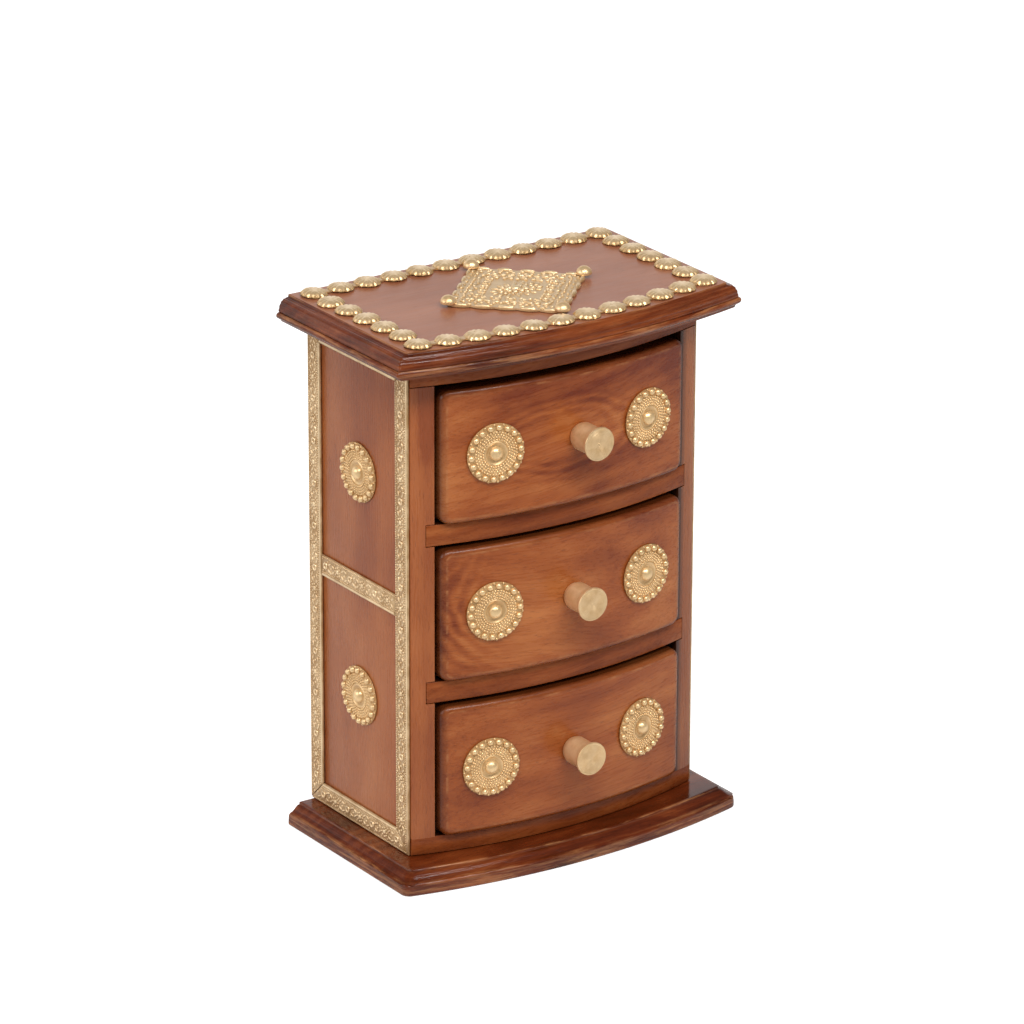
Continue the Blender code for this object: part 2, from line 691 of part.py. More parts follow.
def even_row(span):
    """Number of steps along a row that has an even number of flowers."""
    return 2 * round((span / FLOWER_PITCH - 1) / 2) + 1


def front_row():
    """Middles of the flowers along the front, on the arc."""
    centre_y, radius = TOP_ARC
    row_radius = radius + FRONT_ROW_OFFSET
    reach = math.asin(ROW_HALF / row_radius)
    steps = even_row(2 * reach * row_radius)
    angles = [reach * (2 * step / steps - 1) for step in range(steps + 1)]
    return [(row_radius * math.sin(angle), centre_y - row_radius * math.cos(angle)) for angle in angles]


def rear_row():
    """Middles of the flowers along the back."""
    steps = even_row(2 * ROW_HALF)
    return [(ROW_HALF * (2 * step / steps - 1), REAR_ROW_Y) for step in range(steps + 1)]


def side_row(hand):
    """Middles of the flowers along a side, clear of those at the corners."""
    corner_y = front_row()[0][1]
    steps = int((REAR_ROW_Y - corner_y) / (FLOWER_DIAMETER + GLUE_LINE))
    gap = (REAR_ROW_Y - corner_y) / steps
    return [(hand * ROW_HALF, corner_y + gap * step) for step in range(1, steps)]


def ribbon_outline(path):
    """Band of even width along a path of points."""
    left, right = [], []
    for index, (x, y) in enumerate(path):
        before = path[max(index - 1, 0)]
        after = path[min(index + 1, len(path) - 1)]
        along = (after[0] - before[0], after[1] - before[1])
        scale = RIBBON_WIDTH / 2 / math.hypot(*along)
        left.append((x - along[1] * scale, y + along[0] * scale))
        right.append((x + along[1] * scale, y - along[0] * scale))
    return left + right[::-1]


def flower_border(name, row, path):
    """Ribbon along the path, with a domed flower at each point of the row."""
    mesh = outline_mesh(name, ribbon_outline(path), 0.0, RIBBON_THICKNESS)
    border = add_part(name, mesh, "pressed_brass")
    border.location.z = BRASS_LEVEL
    dome = profile_mesh(name + "_flower", dome_profile(FLOWER_DIAMETER / 2, FLOWER_HEIGHT - FLOWER_LIFT))
    for number, (x, y) in enumerate(row):
        flower = add_cutter(f"{name}_flower_{number}", dome)
        turn(flower, FLOWER_SIDES)
        flower.location = (x, y, BRASS_LEVEL + FLOWER_LIFT)
        combine(border, flower, "UNION")


flower_border("front_flower_border", front_row(), front_row())
for name, row in (
    ("rear_flower_border", rear_row()),
    ("left_flower_border", side_row(-1)),
    ("right_flower_border", side_row(1)),
):
    flower_border(name, row, (row[0], row[-1]))


def lozenge_tips():
    """Nail places: the front one nests between two flowers, the rear one stands before the rear row."""
    row = front_row()
    flower_x, flower_y = row[len(row) // 2]
    apart = FLOWER_DIAMETER / 2 + NAIL_RADIUS + GLUE_LINE
    front_y = flower_y + math.sqrt(apart**2 - flower_x**2)
    rear_y = REAR_ROW_Y - apart
    middle_y = (front_y + rear_y) / 2
    return {
        "right": (LOZENGE_HALF_WIDTH, middle_y),
        "rear": (0.0, rear_y),
        "left": (-LOZENGE_HALF_WIDTH, middle_y),
        "front": (0.0, front_y),
    }


def scalloped_outline(tips):
    """Lozenge through the tips, with a row of scallops along each edge."""
    points = []
    for (x0, y0), (x1, y1) in zip(tips, tips[1:] + tips[:1]):
        length = math.hypot(x1 - x0, y1 - y0)
        outward = ((y1 - y0) / length, (x0 - x1) / length)
        steps = SCALLOPS_PER_EDGE * SCALLOP_STEPS
        for step in range(steps):
            share = step / steps
            swell = LOZENGE_SCALLOP * abs(math.sin(math.pi * SCALLOPS_PER_EDGE * share))
            x = x0 + (x1 - x0) * share + outward[0] * swell
            y = y0 + (y1 - y0) * share + outward[1] * swell
            points.append((x, y))
    return points


def lozenge_plate(tips):
    """Scalloped plate with a raised panel, a boss and a round tab under each nail."""
    name = "lozenge_plate"
    corners = list(tips.values())
    middle_y = tips["right"][1]
    mesh = outline_mesh(name, scalloped_outline(corners), 0.0, LOZENGE_THICKNESS)
    plate = add_part(name, mesh, "pressed_brass")
    plate.location.z = BRASS_LEVEL
    share = 1 - LOZENGE_PANEL_INSET / LOZENGE_HALF_WIDTH
    inner = [(x * share, middle_y + (y - middle_y) * share) for x, y in corners]
    panel = add_cutter("lozenge_panel", outline_mesh("lozenge_panel", inner, 0.0, LOZENGE_PANEL_HEIGHT))
    panel.location.z = BRASS_LEVEL
    combine(plate, panel, "UNION")
    boss = add_cutter(
        "lozenge_boss", profile_mesh("lozenge_boss", dome_profile(LOZENGE_BOSS_RADIUS, LOZENGE_BOSS_HEIGHT))
    )
    turn(boss, ROSETTE_SIDES)
    boss.location = (0.0, middle_y, BRASS_LEVEL)
    combine(plate, boss, "UNION")
    for place, (x, y) in tips.items():
        tab_name = f"lozenge_{place}_tab"
        tab = add_cutter(tab_name, rod_mesh(tab_name, LOZENGE_TAB_RADIUS, 0.0, LOZENGE_THICKNESS))
        tab.location = (x, y, BRASS_LEVEL)
        combine(plate, tab, "UNION")
    return plate


def dome_nail(place, x, y, pierced):
    """Nail with a domed head on the plate and its shank in a hole through the plate into the top."""
    level = BRASS_LEVEL + LOZENGE_THICKNESS + GLUE_LINE
    name = f"{place}_dome_nail"
    profile = dome_profile(NAIL_RADIUS, NAIL_HEIGHT, NAIL_SHANK_RADIUS, NAIL_SHANK_LENGTH)
    nail = add_part(name, profile_mesh(name, profile), "turned_brass")
    turn(nail, SMALL_SIDES)
    nail.location = (x, y, level)
    hole_name = name + "_hole"
    hole_radius = NAIL_SHANK_RADIUS + GLUE_LINE
    hole_mesh = rod_mesh(hole_name, hole_radius, -NAIL_SHANK_LENGTH - GLUE_LINE, NAIL_HEIGHT)
    hole = add_cutter(hole_name, hole_mesh)
    hole.location = (x, y, level)
    for piece in pierced:
        combine(piece, hole, "DIFFERENCE")


nail_places = lozenge_tips()
plate = lozenge_plate(nail_places)
for place, (x, y) in nail_places.items():
    dome_nail(place, x, y, (plate, top_board))
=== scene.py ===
# %% [markdown]
# # A bow-fronted table chest, trimmed with pressed brass
# The chest is about 220 mm high: a wooden carcass with three drawers, moulded boards above and below,
# and thin pressed brass nailed to the top, the sides and the drawers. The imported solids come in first.
# They are the fixed frame: every piece made here is measured from them, takes the place of one of them
# and rides on the same body, so that the drawers still slide.

import json
import math
import random

import bmesh
import bpy
from mathutils import Matrix, Vector

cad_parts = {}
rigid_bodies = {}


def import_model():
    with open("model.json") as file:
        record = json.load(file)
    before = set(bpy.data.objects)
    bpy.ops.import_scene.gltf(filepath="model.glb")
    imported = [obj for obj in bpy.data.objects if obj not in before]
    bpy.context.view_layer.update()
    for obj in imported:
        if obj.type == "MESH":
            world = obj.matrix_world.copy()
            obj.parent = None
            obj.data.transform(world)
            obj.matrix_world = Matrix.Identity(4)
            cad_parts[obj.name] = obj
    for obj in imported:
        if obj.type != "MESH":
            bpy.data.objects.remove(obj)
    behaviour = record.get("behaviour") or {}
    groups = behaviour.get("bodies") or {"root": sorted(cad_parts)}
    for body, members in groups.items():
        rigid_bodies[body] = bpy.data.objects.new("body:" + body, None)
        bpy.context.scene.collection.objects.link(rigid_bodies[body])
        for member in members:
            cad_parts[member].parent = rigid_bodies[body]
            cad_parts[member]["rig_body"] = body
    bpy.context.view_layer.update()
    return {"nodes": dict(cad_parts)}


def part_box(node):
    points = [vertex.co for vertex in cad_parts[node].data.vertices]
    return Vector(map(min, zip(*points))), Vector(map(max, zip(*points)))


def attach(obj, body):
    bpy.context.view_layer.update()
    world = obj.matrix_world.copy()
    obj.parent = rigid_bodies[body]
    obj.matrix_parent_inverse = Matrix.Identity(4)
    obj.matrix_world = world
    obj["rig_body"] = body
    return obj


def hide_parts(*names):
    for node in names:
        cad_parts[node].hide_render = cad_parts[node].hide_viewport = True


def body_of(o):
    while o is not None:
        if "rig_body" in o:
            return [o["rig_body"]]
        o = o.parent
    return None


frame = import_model()
nodes = frame["nodes"]
MM = 0.001


# %% [markdown]
# ## Camera
# The chest was photographed with a long lens from a little above, so its edges stay almost parallel. The
# place of the camera, its aim and its field of view were found by laying the corners of the solids over
# the picture. A narrow field of view from far away gives the same flat perspective.

# %% Set up the camera
scene = bpy.context.scene
camera_place = Vector((-1.1999, -1.7570, 0.9305))
camera_aim = Vector((-0.3412, -0.5044, 0.3547))
camera_roll = math.radians(0.202)
field_of_view = math.radians(9.859)


def put_in_scene(name, data):
    """Object that shows this data, linked to the scene."""
    thing = bpy.data.objects.new(name, data)
    scene.collection.objects.link(thing)
    return thing


lens = bpy.data.cameras.new("camera")
lens.sensor_width = 36
lens.angle = field_of_view
camera = put_in_scene("camera", lens)
camera.location = camera_place
level_look = (camera_aim - camera_place).to_track_quat("-Z", "Y").to_matrix()
camera.rotation_euler = (level_look @ Matrix.Rotation(camera_roll, 3, "Z")).to_euler()
scene.camera = camera
print("camera", round(camera_place.length, 2), "m away, lens", round(lens.lens), "mm")

# %% [markdown]
# ## Shader nodes
# A material is a small network of nodes. Adding nodes one by one takes many lines, so one helper adds a
# node, sets its options and fills its sockets: a plain value is written into the socket, and another
# node's output is linked to it. An output knows the network it belongs to, so the helpers find it there.

# %% Helpers for shader nodes
def fill(node, sockets):
    """Fill sockets of a node, given by name or number: write a value or link an output."""
    for socket, value in sockets.items():
        if isinstance(value, bpy.types.NodeSocket):
            node.id_data.links.new(value, node.inputs[socket])
        else:
            node.inputs[socket].default_value = value


def add_node(tree, kind, sockets=None, **options):
    """Add a shader node, set its options and fill its sockets."""
    node = tree.nodes.new("ShaderNode" + kind)
    for option, value in options.items():
        setattr(node, option, value)
    fill(node, sockets or {})
    return node


def math_of(how, first, second=0.0, limit=False):
    """Output of a Math node."""
    sockets = {0: first, 1: second}
    return add_node(first.id_data, "Math", sockets, operation=how, use_clamp=limit).outputs[0]


def times(first, second):
    """An output times a value or another output."""
    return math_of("MULTIPLY", first, second)


def plus(first, second, limit=False):
    """An output plus a value or another output; limit keeps the sum from 0 to 1."""
    return math_of("ADD", first, second, limit)


def blended(share, first, second):
    """Output of a colour mix: first where share is 0, second where it is 1."""
    return add_node(share.id_data, "Mix", {0: share, 6: first, 7: second}, data_type="RGBA").outputs[2]


def spread(value, low, high, to_low=0.0, to_high=1.0):
    """Value from low to high, spread smoothly from to_low to to_high."""
    sockets = {0: value, 1: low, 2: high, 3: to_low, 4: to_high}
    return add_node(value.id_data, "MapRange", sockets, interpolation_type="SMOOTHSTEP").outputs[0]


def noise(place, scale, detail, roughness=0.6):
    """Output of a noise texture."""
    sockets = {"Vector": place, "Scale": scale, "Detail": detail, "Roughness": roughness}
    return add_node(place.id_data, "TexNoise", sockets).outputs[0]


def new_material(name):
    """Material, its Principled shader and the place on the object that wears it."""
    material = bpy.data.materials.new(name)
    material.use_nodes = True
    tree = material.node_tree
    return material, tree.nodes["Principled BSDF"], add_node(tree, "TexCoord").outputs["Object"]


# %% [markdown]
# ## Floor and world
# The chest stands on white paper. The floor takes the shadow of the chest, and a little glow that only the
# camera sees lifts it to white, so the lamps can stay at a plain level. The world looks white to the camera
# too. What shiny wood and brass mirror is another matter: there the paper is white behind the chest and at
# its sides, and it gets dim towards the dark room in front. That gives the polished wood its depth.

# %% Make the floor
WHITE = (1, 1, 1, 1)
DIM_PAPER = (0.40, 0.40, 0.40, 1)


def kept_mesh(name, bm):
    """Keep a finished bmesh as a mesh."""
    mesh = bpy.data.meshes.new(name)
    bm.to_mesh(mesh)
    bm.free()
    return mesh


bm = bmesh.new()
bmesh.ops.create_grid(bm, x_segments=1, y_segments=1, size=4.0)
bmesh.ops.translate(bm, verts=bm.verts, vec=(0, 0, -0.2 * MM))
floor = put_in_scene("floor", kept_mesh("floor", bm))

paper, shader, place = new_material("white_paper")
paper_tone = blended(noise(place, 900.0, 2.0), (0.80, 0.80, 0.80, 1), (0.84, 0.84, 0.84, 1))
path = add_node(shader.id_data, "LightPath")
spot = add_node(shader.id_data, "SeparateXYZ", {0: place})
to_front = plus(spot.outputs["Y"], times(spot.outputs["X"], 0.6))
dimmed = times(spread(to_front, -0.30, -0.05, 1.0, 0.0), path.outputs["Is Glossy Ray"])
fill(shader, {"Base Color": blended(dimmed, paper_tone, DIM_PAPER), "Roughness": 0.9,
              "Emission Color": WHITE, "Emission Strength": times(path.outputs["Is Camera Ray"], 0.70)})
floor.data.materials.append(paper)

# %% Make the world
studio = bpy.data.worlds.new("studio")
scene.world = studio
studio.use_nodes = True
tree = studio.node_tree
path = add_node(tree, "LightPath")
seen = plus(path.outputs["Is Camera Ray"], path.outputs["Is Transmission Ray"], limit=True)
heading = add_node(tree, "SeparateXYZ", {0: add_node(tree, "TexCoord").outputs["Generated"]})
behind = spread(heading.outputs["Y"], 0.10, 0.60)
not_above = spread(heading.outputs["Z"], 0.30, 0.75, 1.0, 0.0)
room = spread(times(behind, not_above), 0.0, 1.0, 0.12, 0.95)
room_or_white = add_node(tree, "Mix", {0: seen, 2: room, 3: 1.0}, data_type="FLOAT").outputs[0]
mirrored = plus(seen, path.outputs["Is Glossy Ray"], limit=True)
strength = add_node(tree, "Mix", {0: mirrored, 2: 0.37, 3: room_or_white}, data_type="FLOAT").outputs[0]
fill(tree.nodes["Background"], {"Color": WHITE, "Strength": strength})
scene.view_settings.view_transform = "Standard"

# %% [markdown]
# ## Lamps
# A long narrow light bank hangs above the camera. Its mirror image is the thin white line on every moulding
# and the white spot on every flower. A thin weak lamp hangs lower in front, and draws a second line on the
# mouldings and on the upper edges of the drawers. A large weak lamp on the left fills the side of the chest.

# %% Hang the lamps
chest_middle = Vector((0, 0, 0.11))


def soft_lamp(name, azimuth, elevation, distance, width, height, power):
    """Area lamp aimed at the middle of the chest; azimuth 0 is in front of it, and minus is to its left."""
    turned, lifted = math.radians(azimuth), math.radians(elevation)
    level = Vector((math.sin(turned), -math.cos(turned), 0)) * math.cos(lifted)
    heading = level + Vector((0, 0, math.sin(lifted)))
    light = bpy.data.lights.new(name, "AREA")
    light.shape = "RECTANGLE"
    light.size, light.size_y, light.energy = width, height, power
    lamp = put_in_scene(name, light)
    lamp.location = chest_middle + distance * heading
    lamp.rotation_euler = (-heading).to_track_quat("-Z", "Y").to_euler()


soft_lamp("light_bank", -18, 52, 1.3, 1.4, 0.28, 15.0)
soft_lamp("left_lamp", -100, 25, 1.4, 0.8, 0.8, 5.0)
soft_lamp("front_lamp", 8, 30, 1.6, 1.2, 0.05, 1.2)

# %% [markdown]
# ## Lacquered wood
# The wood is a reddish hardwood under clear lacquer. A solid texture suits boards: the grain is worked out
# in space, so that faces, edges and ends of one board fit together as if cut from one tree. Broad streaks
# and fine fibres are noise drawn out along the grain, growth rings are a wave round a tilted axis, and slow
# blotches stand for uneven stain. Dark clouds and arched rings can be set at given places on a board, and
# some of the clouds are painted shade. Two values painted on the corners of the mesh steer the rest: one
# rubs an edge pale as wear, the other darkens it towards near black. That darkening is painted shade in the
# gaps and on faces turned into the openings, and painted shade with some stain in the hollows of mouldings.

# %% Pattern of the wood
def mapped(place, sockets):
    """Place that is moved, turned or scaled."""
    return add_node(place.id_data, "Mapping", {"Vector": place, **sockets}).outputs[0]


def along_grain(place, scale, detail):
    """Noise drawn out along the grain, which runs along X."""
    return noise(mapped(place, {"Scale": scale}), 1.0, detail)


def distance_from(place, middle, size, ragged):
    """Uneven distance from a place on the front; it is 1 on an ellipse of this size, in mm across X and Z."""
    shape = (1 / (size[0] * MM), 0.0, 1 / (size[1] * MM))
    back = (-middle[0] / size[0], 0.0, -middle[1] / size[1])
    local = mapped(place, {"Location": back, "Scale": shape})
    distance = add_node(place.id_data, "VectorMath", {0: local}, operation="LENGTH").outputs["Value"]
    return plus(distance, spread(noise(place, 60.0, 2.0), 0.3, 0.7, -ragged, ragged))


def cloud(distance):
    """1 in a soft cloud and 0 outside it."""
    return spread(distance, 0.25, 1.15, 1.0, 0.0)


def arches(distance, lines):
    """Growth rings that run round an ellipse and fade outside it, from -1 to 1."""
    waves = math_of("SINE", times(distance, 2 * math.pi * lines))
    return times(waves, times(spread(distance, 0.5, 0.8), spread(distance, 1.0, 1.4, 1.0, 0.0)))


def wood_tone(place, log, figure, ring, grain, clouds, eyes):
    """Tone of the wood from 0, dark, to 1, pale, and its fine fibres."""
    tree = place.id_data
    slow = mapped(log, {"Scale": (8.0, 20.0, 20.0)})
    drift = add_node(tree, "TexNoise", {"Vector": slow, "Scale": 1.0, "Detail": 2.0}).outputs["Color"]
    sway = add_node(tree, "VectorMath", {0: drift, 1: (0.016, 0.016, 0.016)}, operation="MULTIPLY").outputs[0]
    bent = add_node(tree, "VectorMath", {0: log, 1: sway}, operation="ADD").outputs[0]
    waves = {"Vector": bent, "Scale": 2 * math.pi / 20 / (ring * MM), "Distortion": 1.2, "Detail": 3.0}
    rings = add_node(tree, "TexWave", waves, wave_type="RINGS", rings_direction="X").outputs["Fac"]
    fibres = along_grain(bent, (60.0, 1000.0, 1000.0), 4.0)
    streaks = along_grain(bent, (11.0, 150.0, 150.0), 3.0)
    blotches = along_grain(log, (14.0, 28.0, 28.0), 3.0)
    layers = ((rings, figure), (streaks, 0.28 * grain), (fibres, 0.32 * grain), (blotches, 1.00))
    tone = 0.5 - 0.5 * sum(share for layer, share in layers)
    for layer, share in layers:
        tone = plus(times(layer, share), tone)
    for middle, size, depth in clouds:
        tone = math_of("SUBTRACT", tone, times(cloud(distance_from(place, middle, size, 0.15)), depth))
    for middle, size, lines, depth, seen_round, seen_size in eyes:
        swirl = arches(distance_from(place, middle, size, 0.05), lines)
        seen = times(cloud(distance_from(place, seen_round, seen_size, 0.1)), depth)
        tone = plus(tone, times(swirl, seen))
    return tone, fibres


# %% Finish of the wood
RUBBED_WOOD = (0.52, 0.225, 0.085, 1)


def shaded(colour, factor):
    """Colour made darker or paler."""
    return (*[min(1.0, part * factor) for part in colour], 1)


def painted_value(tree, value_name):
    """Value painted on the corners of the mesh."""
    return add_node(tree, "Attribute", attribute_name=value_name).outputs["Fac"]


def bumped(height, strength, depth):
    """Normal that follows a height, depth in mm."""
    sockets = {"Height": height, "Strength": strength, "Distance": depth * MM}
    return add_node(height.id_data, "Bump", sockets).outputs[0]


def lacquered_wood(name, tones, turn=(0, 0, 0), shift=(0, 0, 0), figure=0.10, ring=5.0, rough=0.28,
                   gloss=0.30, coat=0.10, uneven=1.0, grain=1.0, rub=(120.0, 120.0, 320.0), tooled=0.0,
                   clouds=(), eyes=()):
    """Stained wood under lacquer: dark, middle and pale tone, and how its log is turned and shifted."""
    material, shader, place = new_material(name)
    tree = shader.id_data
    log = mapped(place, {"Location": shift, "Rotation": turn})
    tone, fibres = wood_tone(place, log, figure, ring, grain, clouds, eyes)
    tool_lines = along_grain(place, (30.0, 30.0, 1300.0), 3.0)
    if tooled:
        tone = plus(tone, spread(tool_lines, 0.3, 0.7, -0.2 * tooled, 0.2 * tooled))
    shade = add_node(tree, "ValToRGB", {0: tone})
    for element, position, colour in zip(shade.color_ramp.elements, (0.22, 0.80), (tones[0], tones[2])):
        element.position, element.color = position, (*colour, 1)
    shade.color_ramp.elements.new(0.52).color = (*tones[1], 1)
    pores = spread(along_grain(log, (230.0, 2600.0, 2600.0), 1.0), 0.60, 0.72)
    colour = blended(times(pores, 0.35), shade.outputs[0], shaded(tones[0], 0.5))
    # Painted shade: near black where the mesh is marked dark, in gaps, in hollows and on faces turned into
    # the openings.
    colour = blended(painted_value(tree, "stain_and_shade"), colour, shaded(tones[0], 0.08))
    drawn = mapped(place, {"Scale": rub})
    rubbed = times(spread(noise(drawn, 1.0, 5.0, 0.7), 0.42, 0.66), painted_value(tree, "wear"))

    dulled = plus(spread(fibres, 0.3, 0.7, rough - 0.04, rough + 0.06), times(rubbed, 0.15))
    height = math_of("SUBTRACT", times(fibres, 0.6), pores)
    wavy, bumpy = [noise(log, scale, 1.0) for scale in (110.0, 420.0)]
    for layer, share in ((wavy, 3.0 * uneven), (bumpy, 1.1 * uneven), (tool_lines, 34.0 * tooled)):
        height = plus(height, times(layer, share))
    fill(shader, {"Base Color": blended(rubbed, colour, RUBBED_WOOD), "Roughness": dulled,
                  "Normal": bumped(height, 0.3, 0.05), "Specular IOR Level": gloss,
                  "Coat Weight": coat, "Coat Roughness": 0.10})
    return material


# %% [markdown]
# ## Finishes of the boards
# The whole chest is one kind of wood. The mouldings were stained darkest and polished most, and each drawer
# front was cut from another place in the log. Turning the log stands the grain of the sides upright, and a
# small extra tilt lets the rings run out in long arches on the face of a board. A cloud is given by its
# middle, its size and its depth, and an eye of arched rings also by the patch in which it can be seen.

# %% Mix the wood finishes
UPRIGHT = (0.03, math.radians(90), 0.05)
SIDE_TONES = ((0.240, 0.054, 0.013), (0.350, 0.098, 0.025), (0.440, 0.148, 0.048))
RIGHT_SIDE_TONES = ((0.190, 0.045, 0.013), (0.290, 0.084, 0.025), (0.380, 0.130, 0.046))
DIVIDER_TONES = ((0.110, 0.018, 0.004), (0.255, 0.060, 0.013), (0.400, 0.122, 0.032))
MOULDING_TONES = ((0.040, 0.006, 0.001), (0.115, 0.019, 0.004), (0.238, 0.054, 0.012))
TOP_TONES = ((0.240, 0.072, 0.029), (0.312, 0.106, 0.048), (0.380, 0.142, 0.070))

top_wood = lacquered_wood("top_board_wood", TOP_TONES, (0.1, 0.03, 0.02), (0, 0.11, 0.03), figure=0.04,
                          rough=0.33, gloss=0.5, uneven=0.4)
moulding_wood = lacquered_wood("moulding_wood", MOULDING_TONES, (0.3, 0.05, 0.02), (0, 0.05, 0.07),
                               rough=0.13, gloss=0.41, coat=0.0, uneven=1.4, rub=(55.0, 55.0, 900.0),
                               tooled=0.45)
stile_clouds = [((-58, 184), (5.5, 24), 0.5)]
side_wood = {
    "left": lacquered_wood("left_side_wood", SIDE_TONES, UPRIGHT, (0.0, 0.05, 0.10), ring=8, gloss=0.4,
                           grain=0.5, clouds=stile_clouds),
    "right": lacquered_wood("right_side_wood", RIGHT_SIDE_TONES, UPRIGHT, (0.3, -0.07, 0.12), ring=8,
                            gloss=0.4, grain=0.5),
}
divider_wood = lacquered_wood("divider_wood", DIVIDER_TONES, (0.2, 0.04, 0.03), (0.2, 0.02, 0.04),
                              gloss=0.2, coat=0.0)

# %% Mix the wood of the drawer fronts
DRAWER_TONES = ((0.150, 0.024, 0.005), (0.312, 0.077, 0.016), (0.455, 0.150, 0.041))
# Painted shade among the clouds: the band along the top of the upper drawer, under the top board, and the
# dark ends of the drawers. The other clouds are darker patches, and one on the upper drawer is paler.
upper_clouds_and_shade = [((4, 189), (44, 10), 0.28), ((10, 157), (36, 7), 0.24), ((-12, 146), (50, 5), 0.16),
                ((54, 184), (12, 16), 0.16), ((-48, 174), (20, 22), -0.13)]
middle_clouds_and_shade = [((-52, 112), (9, 26), 0.15), ((10, 118), (14, 7), 0.10)]
lower_clouds_and_shade = [((-60, 45), (8, 30), 0.22), ((8, 40), (12, 10), 0.12), ((54, 40), (12, 30), 0.10)]
upper_eyes = [((-6, 170), (32, 14), 4, 0.09, (0, 170), (60, 34))]
middle_eyes = [((-10, 112), (50, 36), 9, 0.12, (-56, 104), (30, 36))]
drawer_wood = {
    "lower": lacquered_wood("lower_drawer_wood", DRAWER_TONES, (-0.2, 0.06, -0.08), (0.8, 0.075, -0.01),
                            figure=0.05, ring=7, clouds=lower_clouds_and_shade),
    "middle": lacquered_wood("middle_drawer_wood", DRAWER_TONES, (0.1, -0.08, 0.13), (0.4, 0.07, -0.115),
                             figure=0.06, ring=6, clouds=middle_clouds_and_shade, eyes=middle_eyes),
    "upper": lacquered_wood("upper_drawer_wood", DRAWER_TONES, (0.25, 0.10, 0.06), (0.1, 0.065, -0.12),
                            figure=0.06, ring=6, clouds=upper_clouds_and_shade, eyes=upper_eyes),
}
print("wood finishes:", [material.name for material in bpy.data.materials if "_wood" in material.name])

# %% [markdown]
# ## Bare wood inside
# Nobody sees the inside of a drawer until it is pulled out. It is plain pale timber, sawn and left without
# stain, so its finish has the same grain with softer contrast, no lacquer and a rougher face. The back panel
# is bare too, and a little darker.

# %% Mix the bare wood
INWARD = (0.0, 0.04, math.radians(-90))
INNER_TONES = ((0.270, 0.150, 0.072), (0.380, 0.225, 0.115), (0.470, 0.300, 0.165))
BACK_TONES = ((0.250, 0.118, 0.052), (0.350, 0.178, 0.084), (0.440, 0.240, 0.125))
bare = {"rough": 0.6, "coat": 0.0}
bare_wood = {
    "crosswise": lacquered_wood("bare_wood", INNER_TONES, shift=(0.2, 0.04, 0.08), **bare),
    "lengthwise": lacquered_wood("bare_wall_wood", INNER_TONES, INWARD, (0.5, 0.06, 0.03), **bare),
    "upright": lacquered_wood("back_panel_wood", BACK_TONES, UPRIGHT, (0.9, 0.03, 0.09), **bare),
}

# %% [markdown]
# ## Brass
# The trim is thin brass sheet, pressed in a die and left with a soft shine. On such sheet the raised parts
# are rubbed bright and the hollows stay deeper in colour, so the mesh carries a value called "relief", from
# 0 in the hollows to 1 on the tops, and the colour follows it. The knobs and nails are turned: fine rings
# round the axis, made from a value that holds the distance from the axis, spread the shine into streaks.

# %% Mix the brass finishes
def pressed_brass(name, hollow, top, rough, dented=1.0):
    """Pressed sheet: paler on the relief, deeper in the hollows."""
    material, shader, place = new_material(name)
    tarnish = spread(noise(place, 170.0, 4.0), 0.3, 0.7, -0.25, 0.2)
    raised = plus(painted_value(shader.id_data, "relief"), tarnish, limit=True)
    dents = times(noise(place, 380.0, 1.0), 3.0 * dented)
    height = plus(noise(place, 1100.0, 2.0), dents)
    fill(shader, {"Base Color": blended(raised, (*hollow, 1), (*top, 1)),
                  "Roughness": spread(raised, 0.0, 1.0, rough + 0.10, rough),
                  "Normal": bumped(height, 0.3, 0.10), "Metallic": 0.6,
                  "Coat Weight": 0.4, "Coat Roughness": 0.16})
    return material


def turned_brass(name, rough):
    """Brass turned on a lathe: the value "turned" holds the distance from the axis in mm."""
    material, shader, place = new_material(name)
    turned = painted_value(shader.id_data, "turned")
    tarnish = noise(place, 260.0, 4.0)
    fine_marks, coarse_marks = [math_of("SINE", times(turned, rings)) for rings in (26.0, 9.0)]
    colour = blended(spread(tarnish, 0.35, 0.7), (0.86, 0.610, 0.340, 1), (0.74, 0.490, 0.240, 1))
    fill(shader, {"Base Color": colour, "Roughness": spread(tarnish, 0.3, 0.7, rough, rough + 0.08),
                  "Normal": bumped(plus(fine_marks, coarse_marks), 0.5, 0.012), "Metallic": 0.6})
    return material


trim_brass = pressed_brass("pressed_brass", (0.61, 0.365, 0.150), (0.95, 0.665, 0.345), 0.34)
strip_brass = pressed_brass("strip_brass", (0.46, 0.255, 0.097), (0.96, 0.715, 0.425), 0.34)
plate_brass = pressed_brass("pale_pressed_brass", (0.66, 0.440, 0.215), (0.88, 0.660, 0.395), 0.34)
flower_brass = pressed_brass("bright_pressed_brass", (0.55, 0.330, 0.130), (0.88, 0.630, 0.350), 0.28, 2.5)
knob_brass = turned_brass("turned_brass", 0.32)
nail_brass = turned_brass("polished_brass", 0.28)
print("brass finishes:", [material.name for material in bpy.data.materials if "brass" in material.name])

# %% Mix the steel of the screws
screw_steel, shader, place = new_material("screw_steel")
rust = noise(place, 700.0, 4.0)
steel_tone = blended(spread(rust, 0.45, 0.7), (0.56, 0.56, 0.57, 1), (0.40, 0.36, 0.33, 1))
fill(shader, {"Base Color": steel_tone, "Roughness": spread(rust, 0.3, 0.7, 0.30, 0.48), "Metallic": 1.0})

# %% [markdown]
# ## From bmesh to piece
# Every piece ends the same way: its normals are turned outwards, it is shaded smooth except across sharp
# edges, and it takes over from its solid. It stays at the origin, with its place in its mesh, so patterns
# on Object coordinates fit.

# %% Finish a piece
SHARP_EDGE = math.radians(38)


